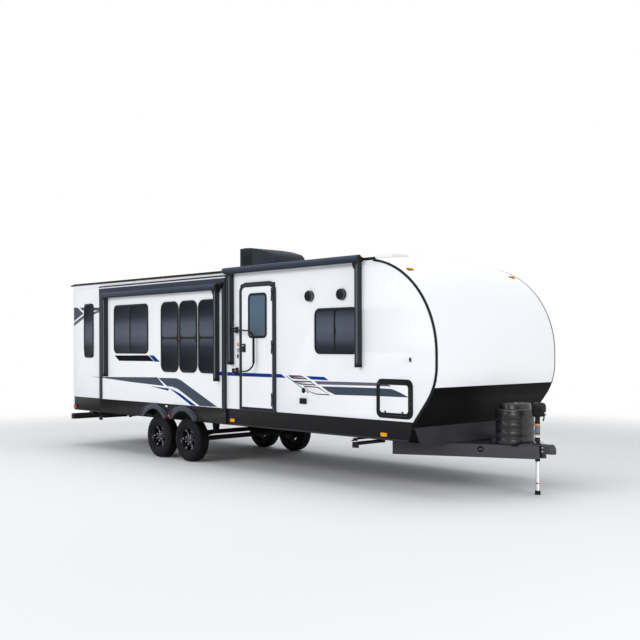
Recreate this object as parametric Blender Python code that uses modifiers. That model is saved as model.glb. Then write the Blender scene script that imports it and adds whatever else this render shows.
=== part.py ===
"""Travel trailer with a slide-out room, metres, +X towards the hitch, door side at -Y, +Z up.

The origin is on the ground below the middle of the whole length.
Places along the body are given as distances from its nose, negative towards the rear.
"""
import math

import bmesh
import bpy
from mathutils import Matrix, Vector

for old in list(bpy.data.objects):
    bpy.data.objects.remove(old, do_unlink=True)

# Fits
SEAT = 0.0003
CLEAR = 0.006

# Body shell
BODY_LENGTH = 8.529
BODY_WIDTH = 2.438
BELLY_Z = 0.881
SKIRT_BOTTOM_Z = 0.646
ROOF_EDGE_Z = 2.864
ROOF_EDGE_HEIGHT = 0.034
ROOF_CROWN = 0.076
WALL = 0.040
SKIRT_SHEET = 0.012
DECK_HEIGHT = 0.081

# Front cap
CAP_SHELL = 0.030
CAP_DEPTH = 1.175
CAP_CENTRE_Z = 1.700
ROOF_TURN = math.radians(82.16)
CHIN_DROP = 0.140
CHIN_RADIUS = 0.710
CHIN_TURN = math.radians(37.6)
SPLIT_TURN = math.radians(21.4)
CAP_STEPS = 16
CHIN_STEPS = 4
CAP_COLUMNS = 6
CAP_BOTTOM_Z = 0.820
APRON_SHEET = 0.012
APRON_TAPER = 0.110

# Frame
RAIL_TOP_WIDTH = 0.060
RAIL_WEB = 0.012
RAIL_FLANGE = 0.014
RAIL_Y = 0.850
RAIL_BOTTOM_Z = 0.595
OUTRIGGER_SPACING = 0.860
OUTRIGGER_THICKNESS = 0.008
OUTRIGGER_TIP_HEIGHT = 0.060
UNDERBELLY_Z = 0.640
UNDERBELLY_SHEET = 0.010
TONGUE_REACH = 0.789
A_RAIL_HEIGHT = 0.160
A_RAIL_WIDTH = 0.060
A_RAIL_FRONT = (0.600, 0.050)
A_RAIL_BACK_X = -1.000
BUMPER_REACH = 0.121
BUMPER_SIZE = 0.100
BUMPER_BOTTOM_Z = 0.470
BUMPER_HALF_WIDTH = 1.190
BUMPER_ARM = 0.150

# Running gear
WHEEL_X = (-5.055, -5.860)
TYRE_RADIUS = 0.340
TYRE_WIDTH = 0.205
TYRE_FACE_Y = 1.170
RIM_RADIUS = 0.190
WHEEL_STEPS = 24
TYRE_SHOULDER = 0.075
SPOKE_COUNT = 6
SPOKE_WIDTH = 0.030
SPOKE_WINDOW = (0.084, 0.162)
SPOKE_FRONT = 0.044
SPOKE_BACK = 0.028
RIM_HUB_PROUD = 0.090
HUB_CAP_RADIUS = 0.040
DRUM_FACE = -0.010
RIM_SHEET = 0.012
HUB_INNER_Y = 0.930
DRUM_RADIUS = 0.140
AXLE_RADIUS = 0.038
AXLE_SEAT = 0.008
LEAF_WIDTH = 0.045
LEAF_PACK = 0.036
SPRING_HALF_SPAN = 0.330
SPRING_EYE_Z = 0.470
SPRING_EYE_RADIUS = 0.022

# Slide-out room
SLIDE_REAR_X = -7.556
SLIDE_FRONT_X = -3.970
SLIDE_TOP_Z = 2.790
SLIDE_TRIM = 0.055
SLIDE_TRIM_PROUD = 0.034
SLIDE_WALL = 0.020
SLIDE_BOX_SHELL = 0.040
SLIDE_BOX_DEPTH = 0.920
SLIDE_BOX_MARGIN = 0.060
SLIDE_SILL = 0.012

# Openings in the walls: from the nose to the rear and front edge, lower and upper edge, corner radius
WINDOWS = {
    "window_rear_narrow": (-8.116, -7.817, 1.609, 2.526, 0.120),
    "window_front_slider": (-2.058, -1.300, 1.705, 2.264, 0.070),
    "window_slide_slider": (-7.061, -6.040, 1.689, 2.467, 0.070),
    "window_slide_tall_1": (-5.635, -5.183, 1.403, 2.473, 0.100),
    "window_slide_tall_2": (-5.129, -4.689, 1.403, 2.473, 0.100),
    "window_slide_tall_3": (-4.630, -4.190, 1.403, 2.473, 0.100),
    "window_off_bedroom": (-2.058, -1.300, 1.705, 2.264, 0.070),
    "window_off_dinette": (-6.300, -5.000, 1.689, 2.467, 0.070),
}
MULLION_X = {
    "window_front_slider": -1.699,
    "window_slide_slider": -6.570,
    "window_off_bedroom": -1.699,
    "window_off_dinette": -5.650,
}
TRANSOM_Z = 1.919
MULLION = 0.026
WINDOW_FLANGE = 0.018
WINDOW_PROUD = 0.010
WINDOW_DEPTH = 0.034
PANE_RECESS = 0.006
WINDOW_RIM = 0.012

# Entry door
DOOR_REAR_X = -3.653
DOOR_FRONT_X = -2.857
DOOR_FRAME_BOTTOM_Z = 0.872
DOOR_TOP_Z = 2.694
DOOR_FRAME_FACE = 0.062
DOOR_FRAME_SILL = 0.048
DOOR_FRAME_LAP = 0.018
DOOR_FRAME_PROUD = 0.018
DOOR_RADIUS = 0.140
DOOR_THICKNESS = 0.044
DOOR_PROUD = 0.020
DOOR_GLASS = (-3.422, -3.053, 1.922, 2.519, 0.050)
HINGE_END_GAP = 0.130
LATCH_Z = 1.765
LATCH_SIZE = (0.070, 0.120)
LATCH_INSET = 0.012
LATCH_PROUD = 0.014
HINGE_RADIUS = 0.009
HINGE_LENGTH = 0.060

# Grab handle
HANDLE_X = -3.720
HANDLE_STAND = 0.075
HANDLE_REACH = 0.460
HANDLE_BOW = 0.048
HANDLE_STRAIGHT = 0.090
HANDLE_TOP_Z = 2.025
HANDLE_BOTTOM_Z = 1.435
HANDLE_RADIUS = 0.0125
HANDLE_BEND = 0.130
HANDLE_EYE = 0.016
HANDLE_EYE_RADIUS = 0.019

# Baggage doors
BAGGAGE = (-0.930, -0.413, 0.951, 1.349, 0.060)
BAGGAGE_THICKNESS = 0.036
BAGGAGE_GAP = 0.006
BAGGAGE_PROUD = 0.006
BAGGAGE_HINGE_RADIUS = 0.008

# Awnings: rear and front end, roller centre height, arm rear edges, arm lower end
AWNING_ROLLER_RADIUS = 0.042
AWNING_STAND = 0.062
AWNING_ARM_WIDTH = 0.052
AWNING_ARM_DEPTH = 0.080
MAIN_AWNING = (-3.936, -1.179, 2.884)
MAIN_AWNING_ARMS = (-3.850, -1.263)
MAIN_AWNING_FOOT_Z = 1.530
SLIDE_AWNING = (-7.330, -4.095, 2.668)
SLIDE_AWNING_ARMS = (-7.330, -4.170)
SLIDE_AWNING_FOOT_Z = 1.280
SLIDE_AWNING_STAND = 0.058

# Roof equipment
AC_FRONT_X = -3.950
AC_LENGTH = 0.830
AC_WIDTH = 0.660
AC_HEIGHT = 0.400
AC_NOSE_RADIUS = 0.160
AC_NOSE_Z = 0.140
AC_BACK = ((0.62, -0.052), (0.32, -0.008), (0.15, 0.0), (0.0, -0.006))
AC_LOUVRES = 6
AC_LOUVRE_PITCH = 0.034
AC_LOUVRE = 0.016
VENT_X = -1.830
VENT_SIZE = 0.400
VENT_HEIGHT = 0.110

# Jack and gas bottle cover
JACK_X = 0.540
JACK_TUBE_RADIUS = 0.030
JACK_LEG_RADIUS = 0.0225
JACK_TUBE_BOTTOM_Z = 0.400
JACK_TUBE_TOP_Z = 0.970
JACK_LEG_TOP_Z = 0.560
JACK_TRAVEL = 0.330
JACK_FOOT_RADIUS = 0.034
JACK_FOOT_HEIGHT = 0.050
JACK_HEAD_TOP_Z = 1.107
COVER_X = 0.220
COVER_LENGTH = 0.350
COVER_WIDTH = 0.580
COVER_TOP_Z = 1.090
COVER_GROOVES = (0.18, 0.34, 0.50, 0.66)
COVER_GROOVE = 0.009
COVER_LID = ((0.80, 0.0), (0.84, -0.010), (0.86, -0.034), (0.875, -0.040), (0.96, -0.042),
             (1.0, -0.066))
TONGUE_PLATE = 0.012
PLATE_HALF_WIDTH = 0.170
BALL_SOCKET_RADIUS = 0.030
COUPLER_HEAD_RADIUS = 0.054
COUPLER_HEAD_Z = 0.545

# Stabilisers
STABILISER_X = (-1.550, -7.950)
STABILISER_LENGTH = 0.500
STABILISER_PIVOT_Y = 0.500
STABILISER_PIVOT_Z = 0.530
STABILISER_WIDTH = 0.060
STABILISER_HEIGHT = 0.040
STABILISER_PIN = 0.008
STABILISER_BRACKET = 0.040
STABILISER_SCREW = 0.010
STABILISER_SCREW_RISE = 0.045
STABILISER_SCREW_REACH = 0.060
STABILISER_PLATE = 0.012
STABILISER_EAR = 0.008
STABILISER_FOOT = 0.055

# Fender arches of the skirts
ARCH_OPENING_TOP_Z = 0.795
ARCH_OPENING_RADIUS = 0.354
ARCH_FLARE = 0.080
ARCH_FLARE_SIDE = 0.046
ARCH_LIP = 0.006
ARCH_PROUD = 0.020
OFF_ARCH_PROUD = 0.040

HALF = BODY_WIDTH / 2
OVERALL = BODY_LENGTH + BUMPER_REACH + TONGUE_REACH
NOSE_X = OVERALL / 2 - TONGUE_REACH
REAR_X = NOSE_X - BODY_LENGTH
BODY_REAR_X = REAR_X + WALL + SEAT
WALL_TOP_Z = ROOF_EDGE_Z - ROOF_EDGE_HEIGHT - SEAT
WALL_FRONT_INSET = CAP_SHELL + SEAT
DECK_TOP_Z = BELLY_Z - SEAT
DECK_BOTTOM_Z = DECK_TOP_Z - DECK_HEIGHT
RAIL_TOP_Z = DECK_BOTTOM_Z - SEAT
A_RAIL_TOP_Z = RAIL_BOTTOM_Z - SEAT
A_RAIL_BOTTOM_Z = A_RAIL_TOP_Z - A_RAIL_HEIGHT
DOOR_SIDE = -1
OFF_SIDE = 1
CAP_RISE = (ROOF_EDGE_Z - CAP_CENTRE_Z) / math.sin(ROOF_TURN)
CHIN_TOP_Z = CAP_CENTRE_Z - CHIN_DROP
BELLY_FRONT = (CHIN_TOP_Z - CHIN_RADIUS * math.sin(CHIN_TURN) - BELLY_Z) * math.tan(CHIN_TURN)
BELLY_FRONT_X = NOSE_X - CHIN_RADIUS * (1 - math.cos(CHIN_TURN)) - BELLY_FRONT

PARTS = bpy.data.collections.new("travel_trailer")
CUTTERS = bpy.data.collections.new("cutters")
bpy.context.scene.collection.children.link(PARTS)
bpy.context.scene.collection.children.link(CUTTERS)


def material(name, colour, roughness, metallic=0.0):
    made = bpy.data.materials.new(name)
    made.use_nodes = True
    shader = made.node_tree.nodes["Principled BSDF"]
    shader.inputs["Base Color"].default_value = (*colour, 1.0)
    shader.inputs["Roughness"].default_value = roughness
    shader.inputs["Metallic"].default_value = metallic
    made.diffuse_color = (*colour, 1.0)
    return made


WHITE = material("white_panel", (0.88, 0.89, 0.91), 0.25)
BLACK = material("black_skirt", (0.030, 0.027, 0.028), 0.35)
GREY = material("apron_grey", (0.055, 0.053, 0.060), 0.45)
SLATE = material("slate_trim", (0.050, 0.056, 0.068), 0.40)
FRAME = material("frame_paint", (0.020, 0.020, 0.022), 0.50)
GLASS = material("tinted_glass", (0.030, 0.033, 0.040), 0.06)
RUBBER = material("tyre_rubber", (0.018, 0.018, 0.019), 0.80)
RIM = material("black_rim", (0.025, 0.028, 0.033), 0.30, 0.4)
STEEL = material("bright_steel", (0.62, 0.63, 0.66), 0.30, 1.0)
PLASTIC = material("black_plastic", (0.028, 0.028, 0.031), 0.55)
ROOFING = material("roof_membrane", (0.80, 0.80, 0.78), 0.60)


def station(x):
    """World X of a place given from the nose of the body."""
    return NOSE_X + x


def place(name, mesh, finish, collection=PARTS):
    item = bpy.data.objects.new(name, mesh)
    collection.objects.link(item)
    if finish is not None:
        item.data.materials.clear()
        item.data.materials.append(finish)
    if collection is CUTTERS:
        item.hide_render = True
        item.display_type = "WIRE"
    return item


def tool(mesh):
    """A helper solid that a Boolean reads."""
    return place("tool", mesh, None, CUTTERS)


def combine(item, mesh, operation, solver):
    change = item.modifiers.new(operation.lower(), "BOOLEAN")
    change.operation = operation
    change.solver = solver
    change.object = tool(mesh)
    return item


def cut(item, mesh, solver="EXACT"):
    return combine(item, mesh, "DIFFERENCE", solver)


def join(item, mesh, solver="EXACT"):
    return combine(item, mesh, "UNION", solver)


def finished(form):
    """Mesh of a bmesh with its faces pointing out."""
    bmesh.ops.recalc_face_normals(form, faces=form.faces)
    mesh = bpy.data.meshes.new("form")
    form.to_mesh(mesh)
    form.free()
    return mesh


def moved(mesh, matrix):
    mesh.transform(matrix)
    return mesh


def box(low, high):
    form = bmesh.new()
    bmesh.ops.create_cube(form, size=1.0)
    size = [high[i] - low[i] for i in range(3)]
    middle = [(high[i] + low[i]) / 2 for i in range(3)]
    bmesh.ops.scale(form, vec=size, verts=form.verts)
    bmesh.ops.translate(form, vec=middle, verts=form.verts)
    return finished(form)


def sided_box(side, x, y, z):
    """Box between two values in each direction, with Y measured outwards on one side."""
    ys = sorted((side * y[0], side * y[1]))
    return box((x[0], ys[0], z[0]), (x[1], ys[1], z[1]))


def cylinder(start, end, radius, sides=20, end_radius=None):
    start, end = Vector(start), Vector(end)
    form = bmesh.new()
    far = radius if end_radius is None else end_radius
    bmesh.ops.create_cone(form, cap_ends=True, segments=sides, radius1=radius, radius2=far,
                          depth=(end - start).length)
    turn = (end - start).to_track_quat("Z", "Y").to_matrix().to_4x4()
    bmesh.ops.transform(form, matrix=Matrix.Translation((start + end) / 2) @ turn, verts=form.verts)
    return finished(form)


def mesh_of(curve_item):
    """Closed mesh of a curve object, which is removed."""
    bpy.context.view_layer.update()
    depsgraph = bpy.context.evaluated_depsgraph_get()
    mesh = bpy.data.meshes.new_from_object(curve_item.evaluated_get(depsgraph))
    mesh.transform(curve_item.matrix_world)
    data = curve_item.data
    bpy.data.objects.remove(curve_item, do_unlink=True)
    bpy.data.curves.remove(data)
    form = bmesh.new()
    form.from_mesh(mesh)
    bmesh.ops.remove_doubles(form, verts=form.verts, dist=0.00005)
    return finished(form)


PLANES = {
    "xz": Matrix(((1, 0, 0, 0), (0, 0, 1, 0), (0, 1, 0, 0), (0, 0, 0, 1))),
    "yz": Matrix(((0, 0, 1, 0), (1, 0, 0, 0), (0, 1, 0, 0), (0, 0, 0, 1))),
    "xy": Matrix.Identity(4),
}


def slab(loops, plane, low, high):
    """Flat outline, with any holes as further loops, made as thick as from low to high."""
    curve = bpy.data.curves.new("outline", "CURVE")
    curve.dimensions = "2D"
    curve.fill_mode = "BOTH"
    curve.extrude = (high - low) / 2
    for loop in loops:
        spline = curve.splines.new("POLY")
        spline.points.add(len(loop) - 1)
        for point, (u, v) in zip(spline.points, loop):
            point.co = (u, v, 0.0, 1.0)
        spline.use_cyclic_u = True
    item = bpy.data.objects.new("outline", curve)
    bpy.context.scene.collection.objects.link(item)
    item.matrix_world = PLANES[plane] @ Matrix.Translation((0, 0, (low + high) / 2))
    return mesh_of(item)


def side_slab(side, loops, near, far):
    """Slab in the plane of a side wall, its thickness measured outwards on that side."""
    low, high = sorted((side * near, side * far))
    return slab(loops, "xz", low, high)


def tube(points, radius, sides=2):
    """Round bar along a list of points."""
    curve = bpy.data.curves.new("bar", "CURVE")
    curve.dimensions = "3D"
    curve.bevel_depth = radius
    curve.bevel_resolution = sides
    curve.use_fill_caps = True
    spline = curve.splines.new("POLY")
    spline.points.add(len(points) - 1)
    for point, place_at in zip(spline.points, points):
        point.co = (*place_at, 1.0)
    item = bpy.data.objects.new("bar", curve)
    bpy.context.scene.collection.objects.link(item)
    return mesh_of(item)


def arc(centre, radius, start, end, steps):
    """Points of an arc, angles in degrees, both ends included."""
    points = []
    for i in range(steps + 1):
        angle = math.radians(start + (end - start) * i / steps)
        points.append((centre[0] + radius * math.cos(angle), centre[1] + radius * math.sin(angle)))
    return points


def round_rect(u0, u1, v0, v1, radius, steps=3):
    """Rectangle with rounded corners."""
    loop = []
    loop += arc((u1 - radius, v0 + radius), radius, -90, 0, steps)
    loop += arc((u1 - radius, v1 - radius), radius, 0, 90, steps)
    loop += arc((u0 + radius, v1 - radius), radius, 90, 180, steps)
    loop += arc((u0 + radius, v0 + radius), radius, 180, 270, steps)
    return loop


def rect(u0, u1, v0, v1):
    return [(u0, v0), (u1, v0), (u1, v1), (u0, v1)]


def opening(size, grow=0.0, steps=3):
    """Rounded outline of a window or hatch from its row of sizes."""
    x0, x1, z0, z1, radius = size
    return round_rect(station(x0) - grow, station(x1) + grow, z0 - grow, z1 + grow, radius + grow,
                      steps)


def turned(name, profile, finish, steps, closed=False, collection=PARTS):
    """Solid of revolution about local Z from (radius, height) points down its outer side."""
    mesh = bpy.data.meshes.new(name)
    points = [(radius, 0.0, height) for radius, height in profile]
    edges = [(i, i + 1) for i in range(len(points) - 1)]
    if closed:
        edges.append((len(points) - 1, 0))
    mesh.from_pydata(points, edges, [])
    item = place(name, mesh, finish, collection)
    screw = item.modifiers.new("turn", "SCREW")
    screw.axis = "Z"
    screw.steps = steps
    screw.render_steps = steps
    screw.use_merge_vertices = True
    screw.merge_threshold = 0.00005
    return item


def layered(outline, sections, plane="xy", side=1):
    """Closed solid through flat sections, each an outline grown by some amount at a height."""
    form = bmesh.new()
    rings = []
    for height, grow in sections:
        rings.append([form.verts.new(PLANES[plane] @ Vector((u, v, side * height)))
                      for u, v in outline(grow)])
    for lower, upper in zip(rings, rings[1:]):
        count = len(lower)
        for i in range(count):
            k = (i + 1) % count
            form.faces.new((lower[i], lower[k], upper[k], upper[i]))
    form.faces.new(list(reversed(rings[0])))
    form.faces.new(rings[-1])
    return finished(form)


def smooth(item, degrees=35):
    item.data.shade_smooth()
    item.data.set_sharp_from_angle(angle=math.radians(degrees))


def bevel(item, width, segments=2, degrees=40):
    edge = item.modifiers.new("edges", "BEVEL")
    edge.width = width
    edge.segments = segments
    edge.limit_method = "ANGLE"
    edge.angle_limit = math.radians(degrees)
    return item


# Front profile

def upper_profile(inset):
    """Front outline from the roof down to the colour split, moved inwards by an inset."""
    points = [(NOSE_X - CAP_DEPTH + (CAP_DEPTH - inset) * u, CAP_CENTRE_Z + (CAP_RISE - inset) * v)
              for u, v in arc((0, 0), 1, math.degrees(ROOF_TURN), 0, CAP_STEPS)]
    points += arc((NOSE_X - CHIN_RADIUS, CHIN_TOP_Z), CHIN_RADIUS - inset, 0,
                  -math.degrees(SPLIT_TURN), CHIN_STEPS)
    return points


def lower_profile(inset):
    """Front outline from the colour split down to the belly line."""
    points = arc((NOSE_X - CHIN_RADIUS, CHIN_TOP_Z), CHIN_RADIUS - inset,
                 -math.degrees(SPLIT_TURN), -math.degrees(CHIN_TURN), CHIN_STEPS)
    x, z = points[-1]
    points.append((x - (z - BELLY_Z) * math.tan(CHIN_TURN), BELLY_Z))
    return points


def cap_shell(name, outside, inside, finish):
    """Curved sheet across the front, crowned at the roof and flat at the nose."""
    columns = CAP_COLUMNS
    form = bmesh.new()
    rows = []
    for x, z in outside + list(reversed(inside)):
        rise = max(0.0, (z - CAP_CENTRE_Z) / (ROOF_EDGE_Z - CAP_CENTRE_Z))
        row = []
        for i in range(columns + 1):
            across = 2 * i / columns - 1
            crown = ROOF_CROWN * (1 - across * across) * rise * rise
            row.append(form.verts.new((x, across * HALF, z + crown)))
        rows.append(row)
    for i in range(columns):
        for upper, lower in zip(rows, rows[1:] + rows[:1]):
            form.faces.new((upper[i], lower[i], lower[i + 1], upper[i + 1]))
    count = len(outside)
    for side in (0, columns):
        for i in range(count - 1):
            form.faces.new((rows[i][side], rows[i + 1][side], rows[-2 - i][side], rows[-1 - i][side]))
    item = place(name, finished(form), finish)
    smooth(item)
    return item


def front_cap():
    """White cap above the colour split and black cap below it, a seam's width apart."""
    seam_turn = SEAT / CHIN_RADIUS
    upper = [upper_profile(inset) for inset in (0.0, CAP_SHELL)]
    for inset, points in zip((0.0, CAP_SHELL), upper):
        radius = CHIN_RADIUS - inset
        turn = SPLIT_TURN - seam_turn
        points[-1] = (NOSE_X - CHIN_RADIUS + radius * math.cos(turn), CHIN_TOP_Z - radius * math.sin(turn))
    cap_shell("front_cap_upper", upper[0], upper[1], WHITE)
    lower, inner = lower_profile(0.0), lower_profile(CAP_SHELL)
    corner_rise = CAP_SHELL * (1 / math.cos(CHIN_TURN) - 1) / math.tan(CHIN_TURN)
    inner[-1] = (BELLY_FRONT_X - CAP_SHELL, BELLY_Z + corner_rise)
    lower.append((BELLY_FRONT_X, CAP_BOTTOM_Z))
    inner.append((BELLY_FRONT_X - CAP_SHELL, CAP_BOTTOM_Z))
    cap_shell("front_cap_lower", lower, inner, BLACK)


def front_apron():
    """Tapered panel between the cap and the A-frame."""
    low_half = HALF - APRON_TAPER
    outline = [(-HALF, CAP_BOTTOM_Z - SEAT), (-low_half, A_RAIL_TOP_Z + SEAT),
               (low_half, A_RAIL_TOP_Z + SEAT), (HALF, CAP_BOTTOM_Z - SEAT)]
    place("front_apron", slab([outline], "yz", BELLY_FRONT_X - 0.003 - APRON_SHEET,
                              BELLY_FRONT_X - 0.003), GREY)


# Walls and roof

def wall_outline():
    front = upper_profile(WALL_FRONT_INSET) + lower_profile(WALL_FRONT_INSET)[1:]
    first = next(i for i, (_, z) in enumerate(front) if z < WALL_TOP_Z)
    (x0, z0), (x1, z1) = front[first - 1], front[first]
    top_x = x0 + (x1 - x0) * (z0 - WALL_TOP_Z) / (z0 - z1)
    return [(BODY_REAR_X, BELLY_Z), (BODY_REAR_X, WALL_TOP_Z), (top_x, WALL_TOP_Z)] + front[first:]


SLIDE_HOLE = (station(SLIDE_REAR_X) + SLIDE_BOX_MARGIN - CLEAR - SLIDE_SILL,
              station(SLIDE_FRONT_X) - SLIDE_BOX_MARGIN + CLEAR + SLIDE_SILL,
              SLIDE_TOP_Z - SLIDE_BOX_MARGIN + CLEAR)


def door_hole():
    """Wall opening of the entry door: rear, front and upper edge."""
    return (station(DOOR_REAR_X) + DOOR_FRAME_LAP, station(DOOR_FRONT_X) - DOOR_FRAME_LAP,
            DOOR_TOP_Z - DOOR_FRAME_LAP)


def side_walls():
    hole = SLIDE_HOLE
    door = door_hole()
    outline = wall_outline()
    bottom = [(door[1], BELLY_Z), (door[1], door[2]), (door[0], door[2]), (door[0], BELLY_Z),
              (hole[1], BELLY_Z), (hole[1], hole[2]), (hole[0], hole[2]), (hole[0], BELLY_Z)]
    holes = [opening(WINDOWS[name]) for name in ("window_rear_narrow", "window_front_slider")]
    holes.append(opening(BAGGAGE, BAGGAGE_GAP))
    wall = place("wall_door_side",
                 side_slab(DOOR_SIDE, [outline + bottom] + holes, HALF - WALL, HALF), WHITE)
    handle_brackets(wall)
    holes = [opening(WINDOWS[name]) for name in ("window_off_bedroom", "window_off_dinette")]
    holes.append(opening(BAGGAGE, BAGGAGE_GAP))
    place("wall_off_side", side_slab(OFF_SIDE, [outline] + holes, HALF - WALL, HALF), WHITE)


def rear_wall():
    outline = rect(-HALF, HALF, SKIRT_BOTTOM_Z, WALL_TOP_Z)
    place("wall_rear", slab([outline], "yz", REAR_X, REAR_X + WALL), WHITE)


def roof():
    steps = 12
    low = ROOF_EDGE_Z - ROOF_EDGE_HEIGHT
    outline = [(-HALF, low), (HALF, low)]
    for i in range(steps + 1):
        across = 1 - 2 * i / steps
        outline.append((across * HALF, ROOF_EDGE_Z + ROOF_CROWN * (1 - across * across)))
    cap_top_x = NOSE_X - CAP_DEPTH + (CAP_DEPTH - CAP_SHELL) * math.cos(ROOF_TURN)
    place("roof", slab([outline], "yz", REAR_X, cap_top_x - CLEAR), ROOFING)


def floor_deck():
    half = HALF - SKIRT_SHEET - SEAT
    place("floor_deck", box((BODY_REAR_X, -half, DECK_BOTTOM_Z),
                            (BELLY_FRONT_X - CAP_SHELL - SEAT, half, DECK_TOP_Z)), FRAME)


# Skirts with wheel arches

def arch_loop(wheel, radius, top_z, bottom_z, steps=10):
    """Arch over a wheel from its right foot to its left foot."""
    centre_z = top_z - radius
    foot = math.degrees(math.asin((bottom_z - centre_z) / radius))
    return arc((station(wheel), centre_z), radius, foot, 180 - foot, steps)


def skirt_bottom_edge(rear_x, front_x, bottom_z):
    """Lower edge from the front to the rear with the two wheel openings."""
    edge = [(front_x, bottom_z)]
    for wheel in WHEEL_X:
        edge += arch_loop(wheel, ARCH_OPENING_RADIUS, ARCH_OPENING_TOP_Z, bottom_z)
    return edge + [(rear_x, bottom_z)]


def flares(item, side, middle, face):
    """Raised lip round each wheel opening."""
    low = SKIRT_BOTTOM_Z + 0.004
    for wheel in WHEEL_X:
        inner = arch_loop(wheel, ARCH_OPENING_RADIUS - ARCH_LIP, ARCH_OPENING_TOP_Z - ARCH_LIP, low)
        outer = arch_loop(wheel, ARCH_OPENING_RADIUS + ARCH_FLARE_SIDE, ARCH_OPENING_TOP_Z + ARCH_FLARE, low)
        join(item, side_slab(side, [inner + list(reversed(outer))], middle, face + ARCH_PROUD), "MANIFOLD")
    return item


def arched_skirt(name, side, rear_x, front_x, top_z, near, far):
    outline = skirt_bottom_edge(rear_x, front_x, SKIRT_BOTTOM_Z) + [(rear_x, top_z), (front_x, top_z)]
    item = place(name, side_slab(side, [outline], near, far), BLACK)
    return flares(item, side, (near + far) / 2, far)


def body_skirts():
    top = BELLY_Z - SEAT
    near = HALF - SKIRT_SHEET
    front_top = BELLY_FRONT_X - WALL_FRONT_INSET
    front_low = front_top - (top - SKIRT_BOTTOM_Z) * math.tan(math.radians(18))
    split_front = station(SLIDE_FRONT_X) - SLIDE_TRIM + SEAT
    split_rear = station(SLIDE_REAR_X) + SLIDE_TRIM - SEAT
    outline = [(split_front, SKIRT_BOTTOM_Z), (front_low, SKIRT_BOTTOM_Z), (front_top, top),
               (split_front, top)]
    place("skirt_door_front", side_slab(DOOR_SIDE, [outline], near, HALF), BLACK)
    outline = rect(BODY_REAR_X, split_rear, SKIRT_BOTTOM_Z, top)
    place("skirt_door_rear", side_slab(DOOR_SIDE, [outline], near, HALF), BLACK)
    outline = skirt_bottom_edge(BODY_REAR_X, front_low, SKIRT_BOTTOM_Z)
    outline += [(BODY_REAR_X, top), (front_top, top)]
    item = place("skirt_off_side", side_slab(OFF_SIDE, [outline], near, HALF), BLACK)
    flares(item, OFF_SIDE, (near + HALF) / 2, HALF - ARCH_PROUD + OFF_ARCH_PROUD)


# Windows

def glazing(name, side, size, face, depth, panes):
    """Plug through the wall, a flange on its face and a shallow recess for each pane."""
    def outline(grow):
        return opening(size, grow)

    sections = [(face - depth, -SEAT), (face + SEAT, -SEAT), (face + SEAT, WINDOW_FLANGE),
                (face + WINDOW_PROUD, WINDOW_FLANGE)]
    item = place(name, layered(outline, sections, "xz", side), GLASS)
    for pane in panes:
        recess = side_slab(side, [round_rect(*pane, size[4] * 0.6, 2)],
                           face + WINDOW_PROUD - PANE_RECESS, face + WINDOW_PROUD + 0.01)
        cut(item, recess, "MANIFOLD")
    return item


def window(name, side, face, depth):
    """One or two panes, parted by a mullion or a transom."""
    x0, x1, z0, z1, _ = WINDOWS[name]
    whole = (station(x0) + WINDOW_RIM, station(x1) - WINDOW_RIM, z0 + WINDOW_RIM, z1 - WINDOW_RIM)
    panes = [whole]
    if name in MULLION_X:
        middle = station(MULLION_X[name])
        panes = [(whole[0], middle - MULLION / 2, whole[2], whole[3]),
                 (middle + MULLION / 2, whole[1], whole[2], whole[3])]
    elif "tall" in name:
        panes = [(whole[0], whole[1], whole[2], TRANSOM_Z - MULLION / 2),
                 (whole[0], whole[1], TRANSOM_Z + MULLION / 2, whole[3])]
    return glazing(name, side, WINDOWS[name], face, depth, panes)


# Entry door

DOOR_INNER = (station(DOOR_REAR_X) + DOOR_FRAME_FACE, station(DOOR_FRONT_X) - DOOR_FRAME_FACE,
              DOOR_FRAME_BOTTOM_Z + DOOR_FRAME_SILL, DOOR_TOP_Z - DOOR_FRAME_FACE)
DOOR_FACE_Y = HALF + DOOR_PROUD
HINGE_X = DOOR_INNER[1] - CLEAR / 2
HINGE_Y = DOOR_FACE_Y + HINGE_RADIUS + 0.002
HINGE_HEIGHTS = (DOOR_INNER[2] + HINGE_END_GAP, (DOOR_INNER[2] + DOOR_INNER[3]) / 2,
                 DOOR_INNER[3] - HINGE_END_GAP)


def arched_rect(u0, u1, v0, v1, radius, steps=5):
    """Rectangle with rounded upper corners."""
    loop = [(u0, v0), (u1, v0)]
    loop += arc((u1 - radius, v1 - radius), radius, 0, 90, steps)
    loop += arc((u0 + radius, v1 - radius), radius, 90, 180, steps)
    return loop


def door_frame():
    """Frame with a flange on the wall, a sleeve through it and hinge leaves."""
    inner = arched_rect(*DOOR_INNER, DOOR_RADIUS - DOOR_FRAME_FACE)
    outer = arched_rect(station(DOOR_REAR_X), station(DOOR_FRONT_X), DOOR_FRAME_BOTTOM_Z, DOOR_TOP_Z,
                        DOOR_RADIUS)
    item = place("door_frame", side_slab(DOOR_SIDE, [outer, inner], HALF + SEAT,
                                         HALF + DOOR_FRAME_PROUD), SLATE)
    hole = door_hole()
    sleeve = arched_rect(hole[0] + SEAT, hole[1] - SEAT, BELLY_Z, hole[2] - SEAT, 0.020)
    join(item, side_slab(DOOR_SIDE, [sleeve, inner], HALF - WALL, HALF + DOOR_FRAME_PROUD / 2))
    for height in HINGE_HEIGHTS:
        low, high = height - HINGE_LENGTH / 2, height + HINGE_LENGTH / 2
        for start, end in ((low - HINGE_LENGTH, low), (high, high + HINGE_LENGTH)):
            join(item, cylinder((HINGE_X, -HINGE_Y, start), (HINGE_X, -HINGE_Y, end), HINGE_RADIUS, 8))
            join(item, box((HINGE_X, -HINGE_Y, start),
                           (HINGE_X + 0.030, -HALF - DOOR_FRAME_PROUD / 2, end)))


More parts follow.
